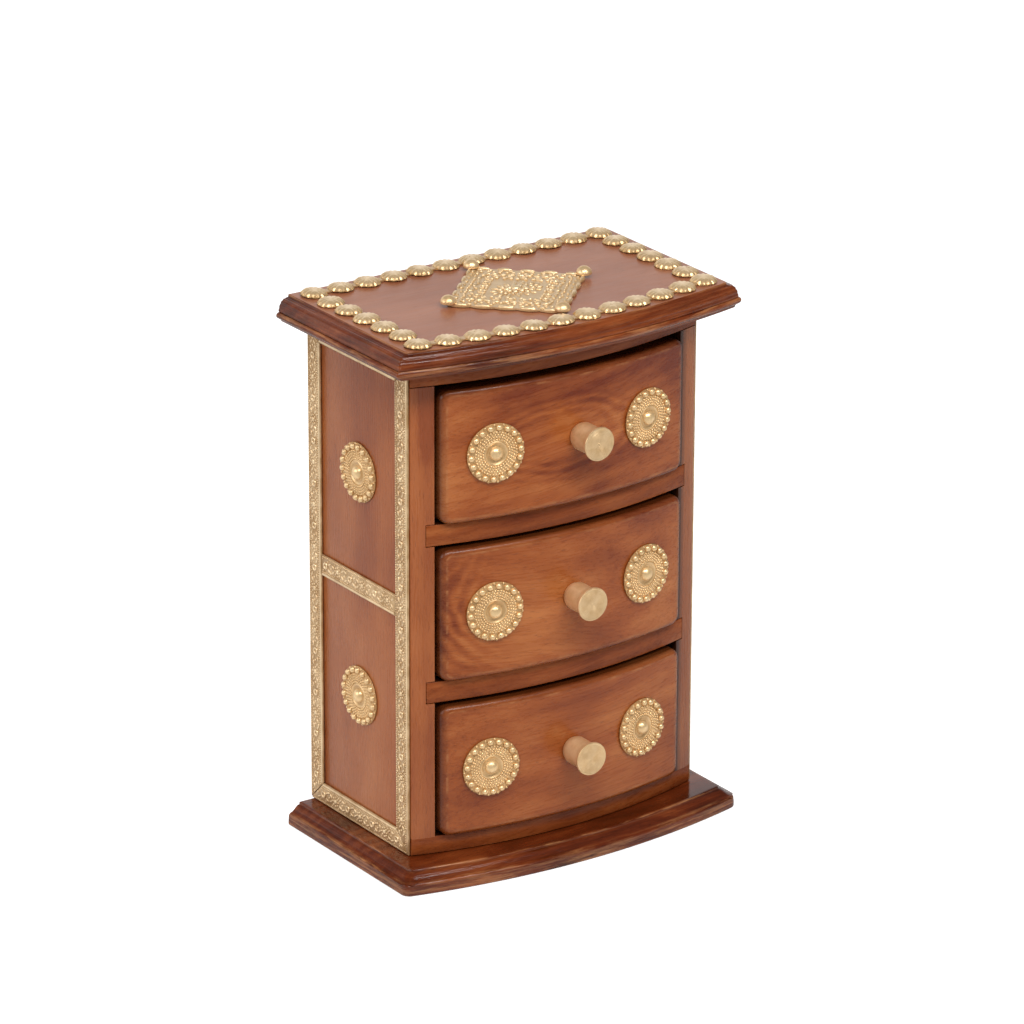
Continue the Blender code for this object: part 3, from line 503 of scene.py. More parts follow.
def finish_piece(node, bm, material):
    """Make the bmesh the shown form of a solid, on the body that the solid rides on."""
    bmesh.ops.recalc_face_normals(bm, faces=bm.faces)
    mesh = kept_mesh("finished_" + node, bm)
    mesh.shade_smooth()
    mesh.set_sharp_from_angle(angle=SHARP_EDGE)
    mesh.materials.append(material)
    piece = put_in_scene("finished_" + node, mesh)
    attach(piece, body_of(nodes[node])[0])
    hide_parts(node)
    return piece


def painted_bmesh(*value_names):
    """Empty bmesh whose corners can hold painted values."""
    bm = bmesh.new()
    for value_name in value_names:
        bm.verts.layers.float.new(value_name)
    return bm


def paint(bm, value_name, verts, value):
    """Write a value on some corners of the mesh."""
    layer = bm.verts.layers.float[value_name]
    for vert in verts:
        vert[layer] = value


def corners_of(faces):
    """All corners of some faces."""
    return {vert for face in faces for vert in face.verts}


# %% [markdown]
# ## Moulded top and base boards
# Each board has straight ends and a bowed front, with one moulding run round three edges. A profile swept
# along the outline would need care at the corners. Insetting is simpler: the outline becomes one face, and
# each step of the profile insets or outsets that face a little and lifts it, so that the corners stay
# mitred. On the top board the front edge was planed back, so there each step also slides forward a little.
# At the end the mitres are rounded as sandpaper leaves them, and the board is sawn straight across at the
# back.

# %% Read the bow of a board from the frame
def bow_of(node):
    """Half width of a board, and the centre and radius of its bowed front edge."""
    corners = [vertex.co for vertex in nodes[node].data.vertices]
    half = max(corner.x for corner in corners)
    front = min(corner.y for corner in corners)
    end = min(corner.y for corner in corners if corner.x > half - 0.01 * MM)
    radius = (half**2 + (end - front) ** 2) / (2 * (end - front))
    return half, front + radius, radius


def bowed_face(bm, half, centre, radius, back, steps):
    """Flat face: one corner is spun along the bow, and two corners at the back close it."""
    reach = math.asin(half / radius)
    corner = bm.verts.new((-half, centre - radius * math.cos(reach), 0))
    bmesh.ops.spin(bm, geom=[corner], cent=(0, centre, 0), axis=(0, 0, 1), angle=2 * reach, steps=steps)
    bm.verts.new((half, back, 0))
    bm.verts.new((-half, back, 0))
    face = bmesh.ops.contextual_create(bm, geom=bm.verts[:])["faces"][0]
    face.normal_update()
    if face.normal.z < 0:
        face.normal_flip()
    return face


print("bow of the top board:", round(bow_of("top_board")[2] / MM), "mm radius")

# %% Helpers for a profile
RIDGE = 0.09  # height of the ridges that the moulding plane left, in mm


def arc_steps(centre, radii, start, end, steps, wear, ridges=0):
    """Round part of a profile, as (inwards, upwards, wear, painted shade) in mm; angle 0 points outwards."""
    profile = []
    for step in range(steps + 1):
        angle = math.radians(start + (end - start) * step / steps)
        ridge = RIDGE * math.sin(2 * math.pi * ridges * step / steps)
        across, up = (radii[0] + ridge) * math.cos(angle), (radii[1] + ridge) * math.sin(angle)
        profile.append((centre[0] - across, centre[1] + up, wear, 0))
    return profile


def front_corner(face, hand):
    """Front corner of a board's outline, on the left (-1) or the right (1)."""
    reach = max(hand * vert.co.x for vert in face.verts)
    ends = [vert for vert in face.verts if hand * vert.co.x > reach - 1e-6]
    return min(ends, key=lambda vert: vert.co.y)


def close_holes(bm):
    """Close each open outline of a mesh with one flat face."""
    bmesh.ops.edgeloop_fill(bm, edges=[edge for edge in bm.edges if edge.is_boundary])


def saw(bm, place, heading, **options):
    """Cut through a mesh along a plane."""
    everything = bm.verts[:] + bm.edges[:] + bm.faces[:]
    bmesh.ops.bisect_plane(bm, geom=everything, plane_co=place, plane_no=heading, **options)
    bm.normal_update()


def round_edges(bm, edges, size, segments, **options):
    """Round edges, size in mm, and give the new faces."""
    rounded = bmesh.ops.bevel(bm, geom=edges, offset=size * MM, segments=segments, profile=0.5,
                              affect="EDGES", material=-1, **options)
    bm.normal_update()
    return rounded["faces"]


# %% Mould a board
def moulded_board(node, profile, corner_round, front_share):
    """Board with its profile, (inwards from the nose, upwards, wear, shade and stain) in mm, on three edges.
    """
    half, centre, radius = bow_of(node)
    low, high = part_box(node)
    bm = painted_bmesh("wear", "stain_and_shade")
    inwards, upwards = profile[0][:2]
    inset = inwards * MM
    spare_length = 30 * MM
    face = bowed_face(bm, half - inset, centre, radius - inset, high.y + spare_length, 30)
    bmesh.ops.translate(bm, verts=bm.verts, vec=(0, (front_share - 1) * inset, 0))
    mitres = {-1: [], 1: []}
    for next_in, next_up, wear, stain_and_shade in profile:
        if (next_in, next_up) != (inwards, upwards):
            inset = (next_in - inwards) * MM
            bmesh.ops.inset_region(bm, faces=[face], thickness=inset + 1e-8, depth=(next_up - upwards) * MM,
                                   use_even_offset=True, use_boundary=True)
            bmesh.ops.translate(bm, verts=face.verts[:], vec=(0, (front_share - 1) * inset, 0))
        inwards, upwards = next_in, next_up
        paint(bm, "wear", face.verts, wear)
        paint(bm, "stain_and_shade", face.verts, stain_and_shade)
        for hand, chain in mitres.items():
            chain.append(front_corner(face, hand).co.copy())
    close_holes(bm)
    mitre_edges = []
    for chain in mitres.values():
        corners = [min(bm.verts, key=lambda vert: (vert.co - place).length) for place in chain]
        mitre_edges += [bm.edges.get(pair) for pair in zip(corners, corners[1:])]
    bmesh.ops.translate(bm, verts=bm.verts, vec=(0, 0, low.z))
    round_edges(bm, mitre_edges, corner_round, 6, offset_type="ABSOLUTE")
    saw(bm, (0, high.y, 0), (0, 1, 0), clear_outer=True)
    close_holes(bm)
    return bm


# %% Make the top board
# The last number of each step darkens the groove above the bead and the step under the flat: painted shade,
# with some stain that gathers there.
top_profile = [(2.3, 0.0, 0.1, 0), (1.95, 0.9, 0.2, 0)]
top_profile += arc_steps((1.2, 2.6), (1.2, 1.2), -60, 75, 8, wear=0.5)
top_profile += [(1.3, 3.78, 0, 0.4)]
top_profile += arc_steps((4.6, 3.85), (3.5, 5.1), 3, 84, 32, wear=0.08, ridges=4)
top_profile += [(4.75, 9.02, 0, 0.1), (5.2, 9.1, 0, 0.1), (5.4, 9.25, 0.1, 0.05), (5.48, 9.85, 0.5, 0),
                (5.6, 10.03, 0.6, 0), (5.8, 10.1, 0.4, 0), (6.8, 10.1, 0, 0)]
bm = moulded_board("top_board", top_profile, corner_round=1.1, front_share=0.65)
flat_level = max(vert.co.z for vert in bm.verts) - 0.01 * MM
for face in bm.faces:
    face.material_index = int(min(vert.co.z for vert in face.verts) > flat_level)
top_piece = finish_piece("top_board", bm, moulding_wood)
top_piece.data.materials.append(top_wood)
print("top board:", len(top_profile), "profile steps,", len(top_piece.data.polygons), "faces")

# %% Make the base board
# On the base the last number darkens the underside, the hollow and the step under the flat: painted shade,
# with some stain that gathers there.
base_profile = [(0.6, 0.0, 0, 0.5)]
base_profile += arc_steps((0.6, 0.6), (0.6, 0.6), -75, 0, 4, wear=0.5)
base_profile += [(0.0, 2.2, 0.5, 0), (0.1, 3.2, 0.3, 0)]
base_profile += arc_steps((1.5, 3.7), (1.38, 1.38), 5, 72, 9, wear=0.35)
base_profile += [(1.75, 5.25, 0, 0.05), (2.4, 5.75, 0, 0.1), (3.1, 6.4, 0, 0.05), (3.7, 6.98, 0, 0)]
base_profile += [(4.3, 7.42, 0, 0.1), (4.8, 7.5, 0, 0.15), (5.0, 7.65, 0.1, 0.1), (5.06, 8.2, 0.5, 0),
                 (5.2, 8.42, 0.6, 0), (5.4, 8.5, 0.35, 0), (6.4, 8.5, 0, 0)]
bm = moulded_board("base_board", base_profile, corner_round=2.6, front_share=1.0)
base_piece = finish_piece("base_board", bm, moulding_wood)
print("base board:", len(base_profile), "profile steps,", len(base_piece.data.polygons), "faces")

# %% [markdown]
# ## Carcass boards
# The sides, dividers, bottom board, board under the top and the back panel are flat boards with housings cut
# in them, and the solids already have that shape. A copy of each is merged into a real mesh, its flat
# triangles are joined into flat faces, and its sharp edges are eased as sandpaper would. Faces that look into
# the openings lie in shade, and painted shade makes them dark. The front edges of the sides get a painted
# shadow towards the openings too, the shade of the gap beside each drawer.

# %% Ease the edges of a board
def edge_heading(edge):
    """Direction of an edge."""
    return (edge.verts[1].co - edge.verts[0].co).normalized()


def eased_board(node, ease, along=None):
    """Copy of a solid with its sharp edges rounded, ease in mm: all of them, or those along one heading."""
    bm = painted_bmesh("wear", "stain_and_shade", "relief")
    bm.from_mesh(nodes[node].data)
    bmesh.ops.remove_doubles(bm, verts=bm.verts, dist=0.005 * MM)
    bmesh.ops.dissolve_limit(bm, angle_limit=math.radians(0.4), verts=bm.verts, edges=bm.edges)
    sharp = [edge for edge in bm.edges if edge.calc_face_angle(0.0) > math.radians(30)]
    if along:
        sharp = [edge for edge in sharp if abs(edge_heading(edge).dot(along)) > 0.9]
    round_edges(bm, sharp, ease, 2, clamp_overlap=True)
    return bm


# %% Paint shade on a board towards the openings
UP = Vector((0, 0, 1))
# Painted shade: faces that look into the openings go near black, and the front edges of the sides darken
# towards the gap beside each drawer.
INSIDE_SHADE = 0.9
STILE_SHADOW = {"left": ((0.5, 0.55), (4.0, 0)), "right": ((1.7, 0.85), (3.2, 0.35), (4.6, 0))}
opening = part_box("upper_drawer_front")[1].x + 0.5 * MM


def darken_facing(bm, heading):
    """Paint shade on the flat faces that look along a heading."""
    inner = [face for face in bm.faces if face.normal.dot(heading) > 0.98]
    paint(bm, "stain_and_shade", corners_of(inner), INSIDE_SHADE)


def wipe_beyond(bm, margin):
    """Take the painted shade off again from what lies outside the opening, margin in mm."""
    paint(bm, "stain_and_shade", [vert for vert in bm.verts if abs(vert.co.x) > opening + margin * MM], 0.0)


def darken_stile(bm, outward, steps):
    """Paint the gap's shadow on a side's front edge: (mm from the opening, darkness), falling."""
    for away, stain_and_shade in steps:
        saw(bm, outward * (opening + away * MM), outward)
    front = corners_of(face for face in bm.faces if face.normal.y < -0.8)
    for away, stain_and_shade in reversed(steps):
        paint(bm, "stain_and_shade", [vert for vert in front if abs(vert.co.x) < opening + (away + 0.05) * MM], stain_and_shade)


print("opening:", round(2 * opening / MM, 1), "mm wide")

# %% Make the carcass boards
SIDEWAYS = {"left": Vector((-1, 0, 0)), "right": Vector((1, 0, 0))}
foot_drop = 0.7 * MM  # the sides reach down through the glue line to the base board

for hand, outward in SIDEWAYS.items():
    bm = eased_board(hand + "_side", 0.35, UP)
    # Painted shade on the face that looks into the openings, and the painted shadow of the gap on the front
    # edge.
    darken_facing(bm, -outward)
    wipe_beyond(bm, 1.0)
    darken_stile(bm, outward, STILE_SHADOW[hand])
    foot = min(vert.co.z for vert in bm.verts)
    feet = [vert for vert in bm.verts if vert.co.z < foot + 0.4 * MM]
    bmesh.ops.translate(bm, verts=feet, vec=(0, 0, -foot_drop))
    finish_piece(hand + "_side", bm, side_wood[hand])
for node in ("bottom_board", "lower_divider", "upper_divider", "under_top_board"):
    bm = eased_board(node, 0.2, SIDEWAYS["right"])
    for edge_of_opening in (-opening, opening):
        saw(bm, (edge_of_opening, 0, 0), (1, 0, 0))
    # Painted shade on the faces above and below the openings.
    for heading in (UP, -UP):
        darken_facing(bm, heading)
    wipe_beyond(bm, 0.1)
    finish_piece(node, bm, divider_wood)
finish_piece("back_panel", eased_board("back_panel", 0.3), bare_wood["upright"])

# %% [markdown]
# ## Drawers
# A drawer front is a thick board, bowed on its face, with rounded corners and a softly rounded rim that
# stands proud of the dividers. It is the bowed outline again, extruded to its height. The four corners are
# bevelled first, then the whole rim of the face, and an inset keeps the rubbed line close to the rim. The
# walls and floor behind it are plain boards.

# %% Shape a drawer front
CORNER_ROUND, RIM_ROUND = 4.0, 2.0  # mm
RUBBED_LINE = 0.9  # width of the rubbed line along the rim, in mm
bow_centre = bow_of("bottom_board")[1]


def extrude(bm, faces, way):
    """Extrude faces along a vector."""
    lifted = bmesh.ops.extrude_face_region(bm, geom=faces)["geom"]
    corners = [item for item in lifted if isinstance(item, bmesh.types.BMVert)]
    bmesh.ops.translate(bm, verts=corners, vec=way)


def drawer_front(node):
    """Bowed drawer front with rounded corners and rim."""
    low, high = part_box(node)
    bm = painted_bmesh("wear", "stain_and_shade")
    face = bowed_face(bm, high.x, bow_centre, bow_centre - low.y, high.y, 24)
    bmesh.ops.translate(bm, verts=bm.verts, vec=(0, 0, low.z))
    extrude(bm, [face], (0, 0, high.z - low.z))
    bmesh.ops.recalc_face_normals(bm, faces=bm.faces)
    corners = [edge for edge in bm.edges if abs(edge.verts[0].co.y - edge.verts[1].co.y) > 5 * MM]
    round_edges(bm, corners, CORNER_ROUND, 6)
    bowed = {face for face in bm.faces if face.normal.y < -0.8}
    rim = [edge for edge in bm.edges if len(bowed.intersection(edge.link_faces)) == 1]
    rim_faces = set(round_edges(bm, rim, RIM_ROUND, 6))
    bowed = [face for face in bm.faces if face.normal.y < -0.8 and face not in rim_faces]
    edge_line = [vert for vert in corners_of(bowed) if rim_faces.intersection(vert.link_faces)]
    # Painted shade: the faces of the front that lie in the gap go near black, and the rim darkens as it turns
    # away from the front.
    paint(bm, "stain_and_shade", bm.verts, 0.95)
    stain_and_shade = bm.verts.layers.float["stain_and_shade"]
    for vert in corners_of(rim_faces):
        vert[stain_and_shade] = 0.80 - 0.65 * max(0.0, -vert.normal.y)
    paint(bm, "wear", edge_line, 0.45)
    bmesh.ops.inset_region(bm, faces=bowed, thickness=RUBBED_LINE * MM, use_even_offset=True,
                           use_boundary=True)
    for value_name in ("wear", "stain_and_shade"):
        paint(bm, value_name, corners_of(bowed), 0.0)
    return bm


# %% Make the drawers
BOX_GRAIN = {"floor": "crosswise", "left_wall": "lengthwise", "right_wall": "lengthwise",
             "back_wall": "crosswise"}
for drawer, wood in drawer_wood.items():
    finish_piece(drawer + "_drawer_front", drawer_front(drawer + "_drawer_front"), wood)
    for part, grain in BOX_GRAIN.items():
        node = f"{drawer}_drawer_{part}"
        finish_piece(node, eased_board(node, 0.3), bare_wood[grain])

# %% [markdown]
# ## Turned knobs
# A knob is turned from brass rod: a long collar, a shallow waist, a flare and a flat head with a thin bright
# rim. That is exactly what a spin makes: half of its section, as a chain of edges, goes once round the axis.
# Each corner keeps its distance from the axis, which the finish needs for its rings.

# %% Spin a profile
def spun(profile, steps):
    """Body of revolution round Z from a profile of (radius, height) in mm."""
    bm = painted_bmesh("turned", "relief")
    corners = [bm.verts.new((radius * MM, 0, height * MM)) for radius, height in profile]
    edges = [bm.edges.new(pair) for pair in zip(corners, corners[1:])]
    bmesh.ops.spin(bm, geom=corners + edges, cent=(0, 0, 0), axis=(0, 0, 1), angle=2 * math.pi, steps=steps,
                   use_merge=True)
    bmesh.ops.remove_doubles(bm, verts=bm.verts, dist=0.002 * MM)
    layer = bm.verts.layers.float["turned"]
    for vert in bm.verts:
        vert[layer] = math.hypot(vert.co.x, vert.co.y) / MM
    return bm


def seat_of(node, heading):
    """Middle of the back of a piece that faces along heading."""
    low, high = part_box(node)
    middle = (low + high) / 2
    back = min(vertex.co.dot(heading) for vertex in nodes[node].data.vertices)
    return middle + (back - middle.dot(heading)) * heading


def facing(place, heading, roll=0.0):
    """Turns Z to the heading, keeps Y upright, and moves the origin to the place."""
    across = UP.cross(heading).normalized()
    turned = Matrix((across, heading.cross(across), heading)).transposed().to_4x4()
    return Matrix.Translation(place) @ turned @ Matrix.Rotation(roll, 4, "Z")


# %% Make the knobs
FRONT = Vector((0, -1, 0))
face_of_head = [(0, 12.28), (0.3, 12.26), (0.5, 12.1)]
face_of_head += [(0.7 + 0.08 * step, 12.18 + 0.002 * step + 0.055 * math.sin(step)) for step in range(63)]
face_of_head += [(5.85, 12.34), (6.1, 12.44), (6.3, 12.48), (6.5, 12.4), (6.6, 12.2)]
flare = [(6.6, 11.7), (6.5, 11.45), (6.1, 11.2), (5.7, 10.8), (5.45, 10.2), (5.35, 9.4)]
collar = [(5.32, 8.4), (5.38, 7.4), (5.48, 5.5), (5.52, 3.5), (5.55, 1.7), (5.45, 1.45), (5.0, 0.5),
          (4.85, 0.0), (0, 0.0)]
for drawer in drawer_wood:
    bm = spun(face_of_head + flare + collar, 64)
    bmesh.ops.transform(bm, matrix=facing(seat_of(drawer + "_knob", FRONT), FRONT), verts=bm.verts)
    finish_piece(drawer + "_knob", bm, knob_brass)
print("knobs:", max(height for radius, height in face_of_head), "mm long")

# %% [markdown]
# ## Screws behind the knobs
# Each knob is held from inside by a steel screw, seen only when the drawer is out. The screw is spun too.
# Its slot is cut with two parallel planes across the head, and the strip between them is extruded inwards.

# %% Make the screws
screw_head = [(0, 0), (1.2, 0.03), (2.4, 0.25), (3.2, 0.65), (3.6, 1.2), (3.6, 1.7), (3.5, 1.8), (1.6, 1.8)]
half_slot, slot_depth = 0.4, 0.7  # mm
for drawer in drawer_wood:
    node = drawer + "_knob_screw"
    low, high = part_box(node)
    length = (high.y - low.y) / MM
    bm = spun(screw_head + [(1.6, length - 0.8), (0, length)], 32)
    for side in (-half_slot, half_slot):
        saw(bm, (side * MM, 0, 0), (1, 0, 0))
    middles = {face: face.calc_center_median() / MM for face in bm.faces}
    strip = [face for face, middle in middles.items() if abs(middle.x) < half_slot and middle.z < 0.6]
    extrude(bm, strip, (0, 0, slot_depth * MM))
    bmesh.ops.delete(bm, geom=[face for face in strip if face.is_valid], context="FACES_ONLY")
    bmesh.ops.transform(bm, matrix=facing(seat_of(node, FRONT), FRONT, 0.4), verts=bm.verts)
    finish_piece(node, bm, screw_steel)
print("screws:", round(length, 1), "mm long")

# %% [markdown]
# ## Rosettes
# Ten pressed rosettes sit on the drawers and sides: a smooth dome in a groove, rings of seed beads, and a
# rim of pearls with a tiny bead between each two. The plate is spun. The beads are half balls of a few
# faces, because there are thousands of them, and one loop sets each ring out on its circle. One rosette is
# modelled, and its copies are turned a little, as the maker would have nailed them.

# %% Stamp small shapes into a mesh
bm = bmesh.new()
bmesh.ops.create_uvsphere(bm, u_segments=8, v_segments=6, radius=1.0)
saw(bm, (0, 0, -0.3), (0, 0, -1), clear_outer=True)
close_holes(bm)
bead = kept_mesh("bead", bm)


def press_in(bm, mesh, moved):
    """Add a copy of a small mesh, moved by a matrix."""
    copy = mesh.copy()
    copy.transform(moved)
    bm.from_mesh(copy)
    bpy.data.meshes.remove(copy)


def stamp(bm, mesh, place, size, turn=0.0):
    """Add a copy of a small mesh at a place, with its size along X, Y and Z, in mm, and its turn round Z."""
    sized = Matrix.Rotation(turn, 4, "Z") @ Matrix.Diagonal((*[side * MM for side in size], 1))
    press_in(bm, mesh, Matrix.Translation(Vector(place) * MM) @ sized)


def ring_of_beads(bm, count, radius, size, level, start=0.0):
    """Ring of half balls, sizes in mm."""
    for number in range(count):
        angle = 2 * math.pi * (number + start) / count
        stamp(bm, bead, (radius * math.cos(angle), radius * math.sin(angle), level), (size, size, size))


def paint_relief(bm, low, high):
    """Paint relief by height, from 0 at low to 1 at high, in mm."""
    layer = bm.verts.layers.float["relief"]
    for vert in bm.verts:
        vert[layer] = min(1.0, max(0.0, (vert.co.z / MM - low) / (high - low)))


print("a bead has", len(bead.polygons), "faces")

# %% Press a rosette
dome = [(0, 2.6), (0.7, 2.54), (1.4, 2.3), (2.0, 1.9), (2.45, 1.4), (2.7, 0.9), (2.8, 0.55)]
groove = [(3.2, 0.45), (3.7, 0.5), (4.1, 0.8), (4.45, 1.0), (4.8, 0.85)]
field = [(5.0, 0.7), (6.8, 0.78), (8.6, 0.7), (8.9, 0.5), (9.3, 0.45), (10.8, 0.5), (11.4, 0.42),
         (11.65, 0.3), (11.7, 0.1), (11.7, 0), (0, 0)]
bm = spun(dome + groove + field, 54)
ring_of_beads(bm, 18, 10.2, 1.34, 0.55)
ring_of_beads(bm, 18, 11.3, 0.58, 0.40, 0.5)
ring_of_beads(bm, 42, 8.35, 0.46, 0.70)
ring_of_beads(bm, 38, 7.35, 0.48, 0.74, 0.5)
ring_of_beads(bm, 34, 6.40, 0.46, 0.74)
ring_of_beads(bm, 32, 5.40, 0.46, 0.74, 0.5)
paint_relief(bm, 0.30, 1.25)
rosette = kept_mesh("rosette", bm)
print("a rosette has", len(rosette.polygons), "faces")

# %% Nail the rosettes on
rosette_turns = random.Random(4)


def nailed_rosette(node, outward):
    """Copy of the rosette on its solid's seat, turned at random."""
    bm = bmesh.new()
    bm.from_mesh(rosette)
    place = facing(seat_of(node, outward), outward, rosette_turns.uniform(0, 1))
    bmesh.ops.transform(bm, matrix=place, verts=bm.verts)
    finish_piece(node, bm, trim_brass)


for drawer in drawer_wood:
    for hand in SIDEWAYS:
        low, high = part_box(f"{drawer}_{hand}_rosette")
        from_axis = (low + high) / 2 - Vector((0, bow_centre, 0))
        nailed_rosette(f"{drawer}_{hand}_rosette", Vector((from_axis.x, from_axis.y, 0)).normalized())
for hand, outward in SIDEWAYS.items():
    for level in ("lower", "upper"):
        nailed_rosette(f"{hand}_side_{level}_rosette", outward)

# %% [markdown]
# ## Pressed strips on the sides
# A frame of pressed strip runs round each side, mitred at the corners, with one more strip across the
# middle. The stock has a plain raised rail along one edge, a fine beaded line along each side and a running
# pattern of bosses, leaves and beads between them, which repeats about every 17 mm. The flat strip is an
# eased copy of its solid. The pattern is stamped on it, and what would fall past a mitre is left off: the
# ends of the two long edges are read from the solid, and the mitre is the line between them.

# %% Running pattern of the strips
ring_side = [(0, 80), (420, 100), (560, 420), (720, 480), (880, 380), (1000, 0), (0, 0)]
boss_ring = kept_mesh("boss_ring", spun(ring_side, 12))  # radius 1, as the bead
PATTERN = 17.2  # length of one repeat, in mm
LEAVES = ((4.2, 0.9, 0.6), (4.4, -1.7, -0.5), (6.9, -1.5, 0.7), (7.0, 0.8, -0.7), (13.4, 0.9, 0.7),
          (13.6, -1.8, -0.6), (15.6, -2.2, 0.4), (15.7, 1.2, -0.5))
SEEDS = ((5.6, 1.5, 0.62), (5.7, -0.4, 0.55), (3.4, -2.6, 0.45), (12.6, 1.8, 0.5), (15.0, -0.4, 0.62),
         (8.0, -2.7, 0.45), (16.9, -2.8, 0.45), (0.2, 1.7, 0.45), (12.2, -2.8, 0.45), (8.3, 1.9, 0.4))


def pattern_repeat(put, start):
    """One repeat of the running pattern, from start along the strip: ring, flower, leaves and seeds."""
    put(boss_ring, start + 1.6, -0.4, (1.55, 1.55, 1.1))
    put(bead, start + 10.2, -0.5, (1.15, 1.15, 0.65))
    for number in range(8):
        angle = math.pi * number / 4
        put(bead, start + 10.2 + 1.75 * math.cos(angle), -0.5 + 1.75 * math.sin(angle), (0.55, 0.55, 0.42))
    for along, across, turn in LEAVES:
        put(bead, start + along, across, (1.35, 0.52, 0.42), turn)
    for along, across, size in SEEDS:
        put(bead, start + along, across, (size, size, 0.8 * size))


# %% Press a strip
RAIL_IN, RAIL_WIDTH, RAIL_HEIGHT = 0.8, 1.05, 0.6  # mm; its middle line lies that far in from the edge
BEAD_STEP = 0.95  # along the beaded lines, in mm


def edge_ends(node, along, across):
    """Where the edge of a strip that lies furthest across starts and ends along its length, in mm."""
    corners = [(vertex.co.dot(across), vertex.co.dot(along) / MM) for vertex in nodes[node].data.vertices]
    reach = max(corner[0] for corner in corners) - 0.05 * MM
    ends = [corner[1] for corner in corners if corner[0] > reach]
    return min(ends), max(ends)


def pressed_strip(node, along, across, outward, start):
    """Strip with its pattern; the rail lies on the side that across points to."""
    low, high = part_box(node)
    thick = abs((high - low).dot(outward)) / MM
    half = abs((high - low).dot(across)) / MM * 0.5
    near, far = edge_ends(node, along, -across), edge_ends(node, along, across)
    middle = (low + high) / 2
    bm = painted_bmesh("relief")

    def mitre(end, place):
        """Where the strip starts (0) or ends (1) at a place across it."""
        return near[end] + (far[end] - near[end]) * (place + half) / (2 * half)

    def put(mesh, place, off, size, turn=0.0):
        """Stamp a shape on the strip, unless it would fall past a mitre or an edge."""
        margin = 0.8 * max(size[:2])
        if mitre(0, off) + margin < place < mitre(1, off) - margin and abs(off) + 0.5 * size[1] < half:
            stamp(bm, mesh, (place, off, thick - 0.05), size, turn)

    first, length = min(near[0], far[0]), max(near[1], far[1]) - min(near[0], far[0])
    for number in range(-1, int(length / PATTERN) + 1):
        pattern_repeat(put, first + start + number * PATTERN)
    for off in (half - 1.75, 0.65 - half):
        for number in range(int(length / BEAD_STEP) + 1):
            put(bead, first + number * BEAD_STEP, off, (0.38, 0.38, 0.40))
    rail = bmesh.ops.create_cube(bm, size=MM)["verts"]
    ends = [mitre(end, half - RAIL_IN) + inset for end, inset in ((0, 0.3), (1, -0.3))]
    bmesh.ops.scale(bm, vec=(ends[1] - ends[0], RAIL_WIDTH, RAIL_HEIGHT), verts=rail)
    bmesh.ops.translate(bm, vec=Vector(((ends[0] + ends[1]) / 2, half - RAIL_IN, thick)) * MM, verts=rail)
    crest = {edge for vert in rail for edge in vert.link_edges
             if all(vert.co.z > thick * MM for vert in edge.verts)}
    round_edges(bm, list(crest), 0.28, 3)
    paint_relief(bm, thick - 0.05, thick + 0.35)
    level = min(vertex.co.dot(outward) for vertex in nodes[node].data.vertices)
    seat = across * middle.dot(across) + outward * level
    turned = Matrix((along, across, outward)).transposed().to_4x4()
    bmesh.ops.transform(bm, matrix=Matrix.Translation(seat) @ turned, verts=bm.verts)
    plate = eased_board(node, 0.12)
    paint(plate, "relief", plate.verts, 0.30)
    plain = kept_mesh(node + "_plain", plate)
    bm.from_mesh(plain)
    bpy.data.meshes.remove(plain)
    return finish_piece(node, bm, strip_brass)


# %% Make the strips of both sides
STRIPS = (("front", UP, FRONT, 3.0), ("rear", UP, FRONT, 9.0), ("top", FRONT, -UP, 5.0),
          ("middle", FRONT, -UP, 1.0), ("bottom", FRONT, UP, 7.0))
strips = []
for hand, outward in SIDEWAYS.items():
    for name, along, across, start in STRIPS:
        strips.append(pressed_strip(f"{hand}_{name}_strip", along, across, outward, start))
print("strips:", [len(strip.data.polygons) for strip in strips], "faces")

# %% [markdown]
# ## Flower borders on the top
# A chain of pressed flowers frames the top: low domes with a steep rim of round lobes, joined by narrow
# links. Their middles are read from the solids, where each dome has its highest corner. A flower is spun
# with many steps, and its lobes are raised by moving its corners: the absolute value of a cosine gives round
# lobes with sharp creases between them. Each copy is turned and tilted a little. The chain was nailed on by
# hand and runs a little crooked, and some flowers show the pin hole or the dent of the punch.

# %% Shape a flower
LOBES = 12
FLOWER_RADIUS = 5.22  # mm
flower_side = [(0, 1.90), (0.9, 1.89), (1.8, 1.86), (2.6, 1.80), (3.3, 1.68), (3.8, 1.50), (4.25, 1.20),
               (4.6, 0.82), (4.9, 0.42), (5.15, 0.1), (FLOWER_RADIUS, 0.08), (FLOWER_RADIUS, 0), (0, 0)]
mean_lobe = 0.64  # about the mean of the absolute value of a cosine

bm = spun(flower_side, LOBES * 6)
for vert in bm.verts:
    share = math.hypot(vert.co.x, vert.co.y) / (FLOWER_RADIUS * MM)
    lobe = abs(math.cos(LOBES / 2 * math.atan2(vert.co.y, vert.co.x))) - mean_lobe
    if vert.co.z > 0.05 * MM and share > 0.1:
        out = 1 + 0.07 * lobe * share**3
        vert.co = Vector((vert.co.x * out, vert.co.y * out, vert.co.z + 0.44 * MM * lobe * share**1.6))
paint_relief(bm, 0.0, 1.6)
flower = kept_mesh("flower", bm)
print("a flower has", len(flower.polygons), "faces")

# %% Press a flower border
def flower_places(node):
    """Middles of the flowers of a border in mm, at the highest corners of its solid."""
    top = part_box(node)[1].z - 0.05 * MM
    peaks = {(round(vertex.co.x / MM, 2), round(vertex.co.y / MM, 2)) for vertex in nodes[node].data.vertices
             if vertex.co.z > top}
    low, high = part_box(node)
    run = 0 if high.x - low.x > high.y - low.y else 1
    return sorted(peaks, key=lambda place: place[run])


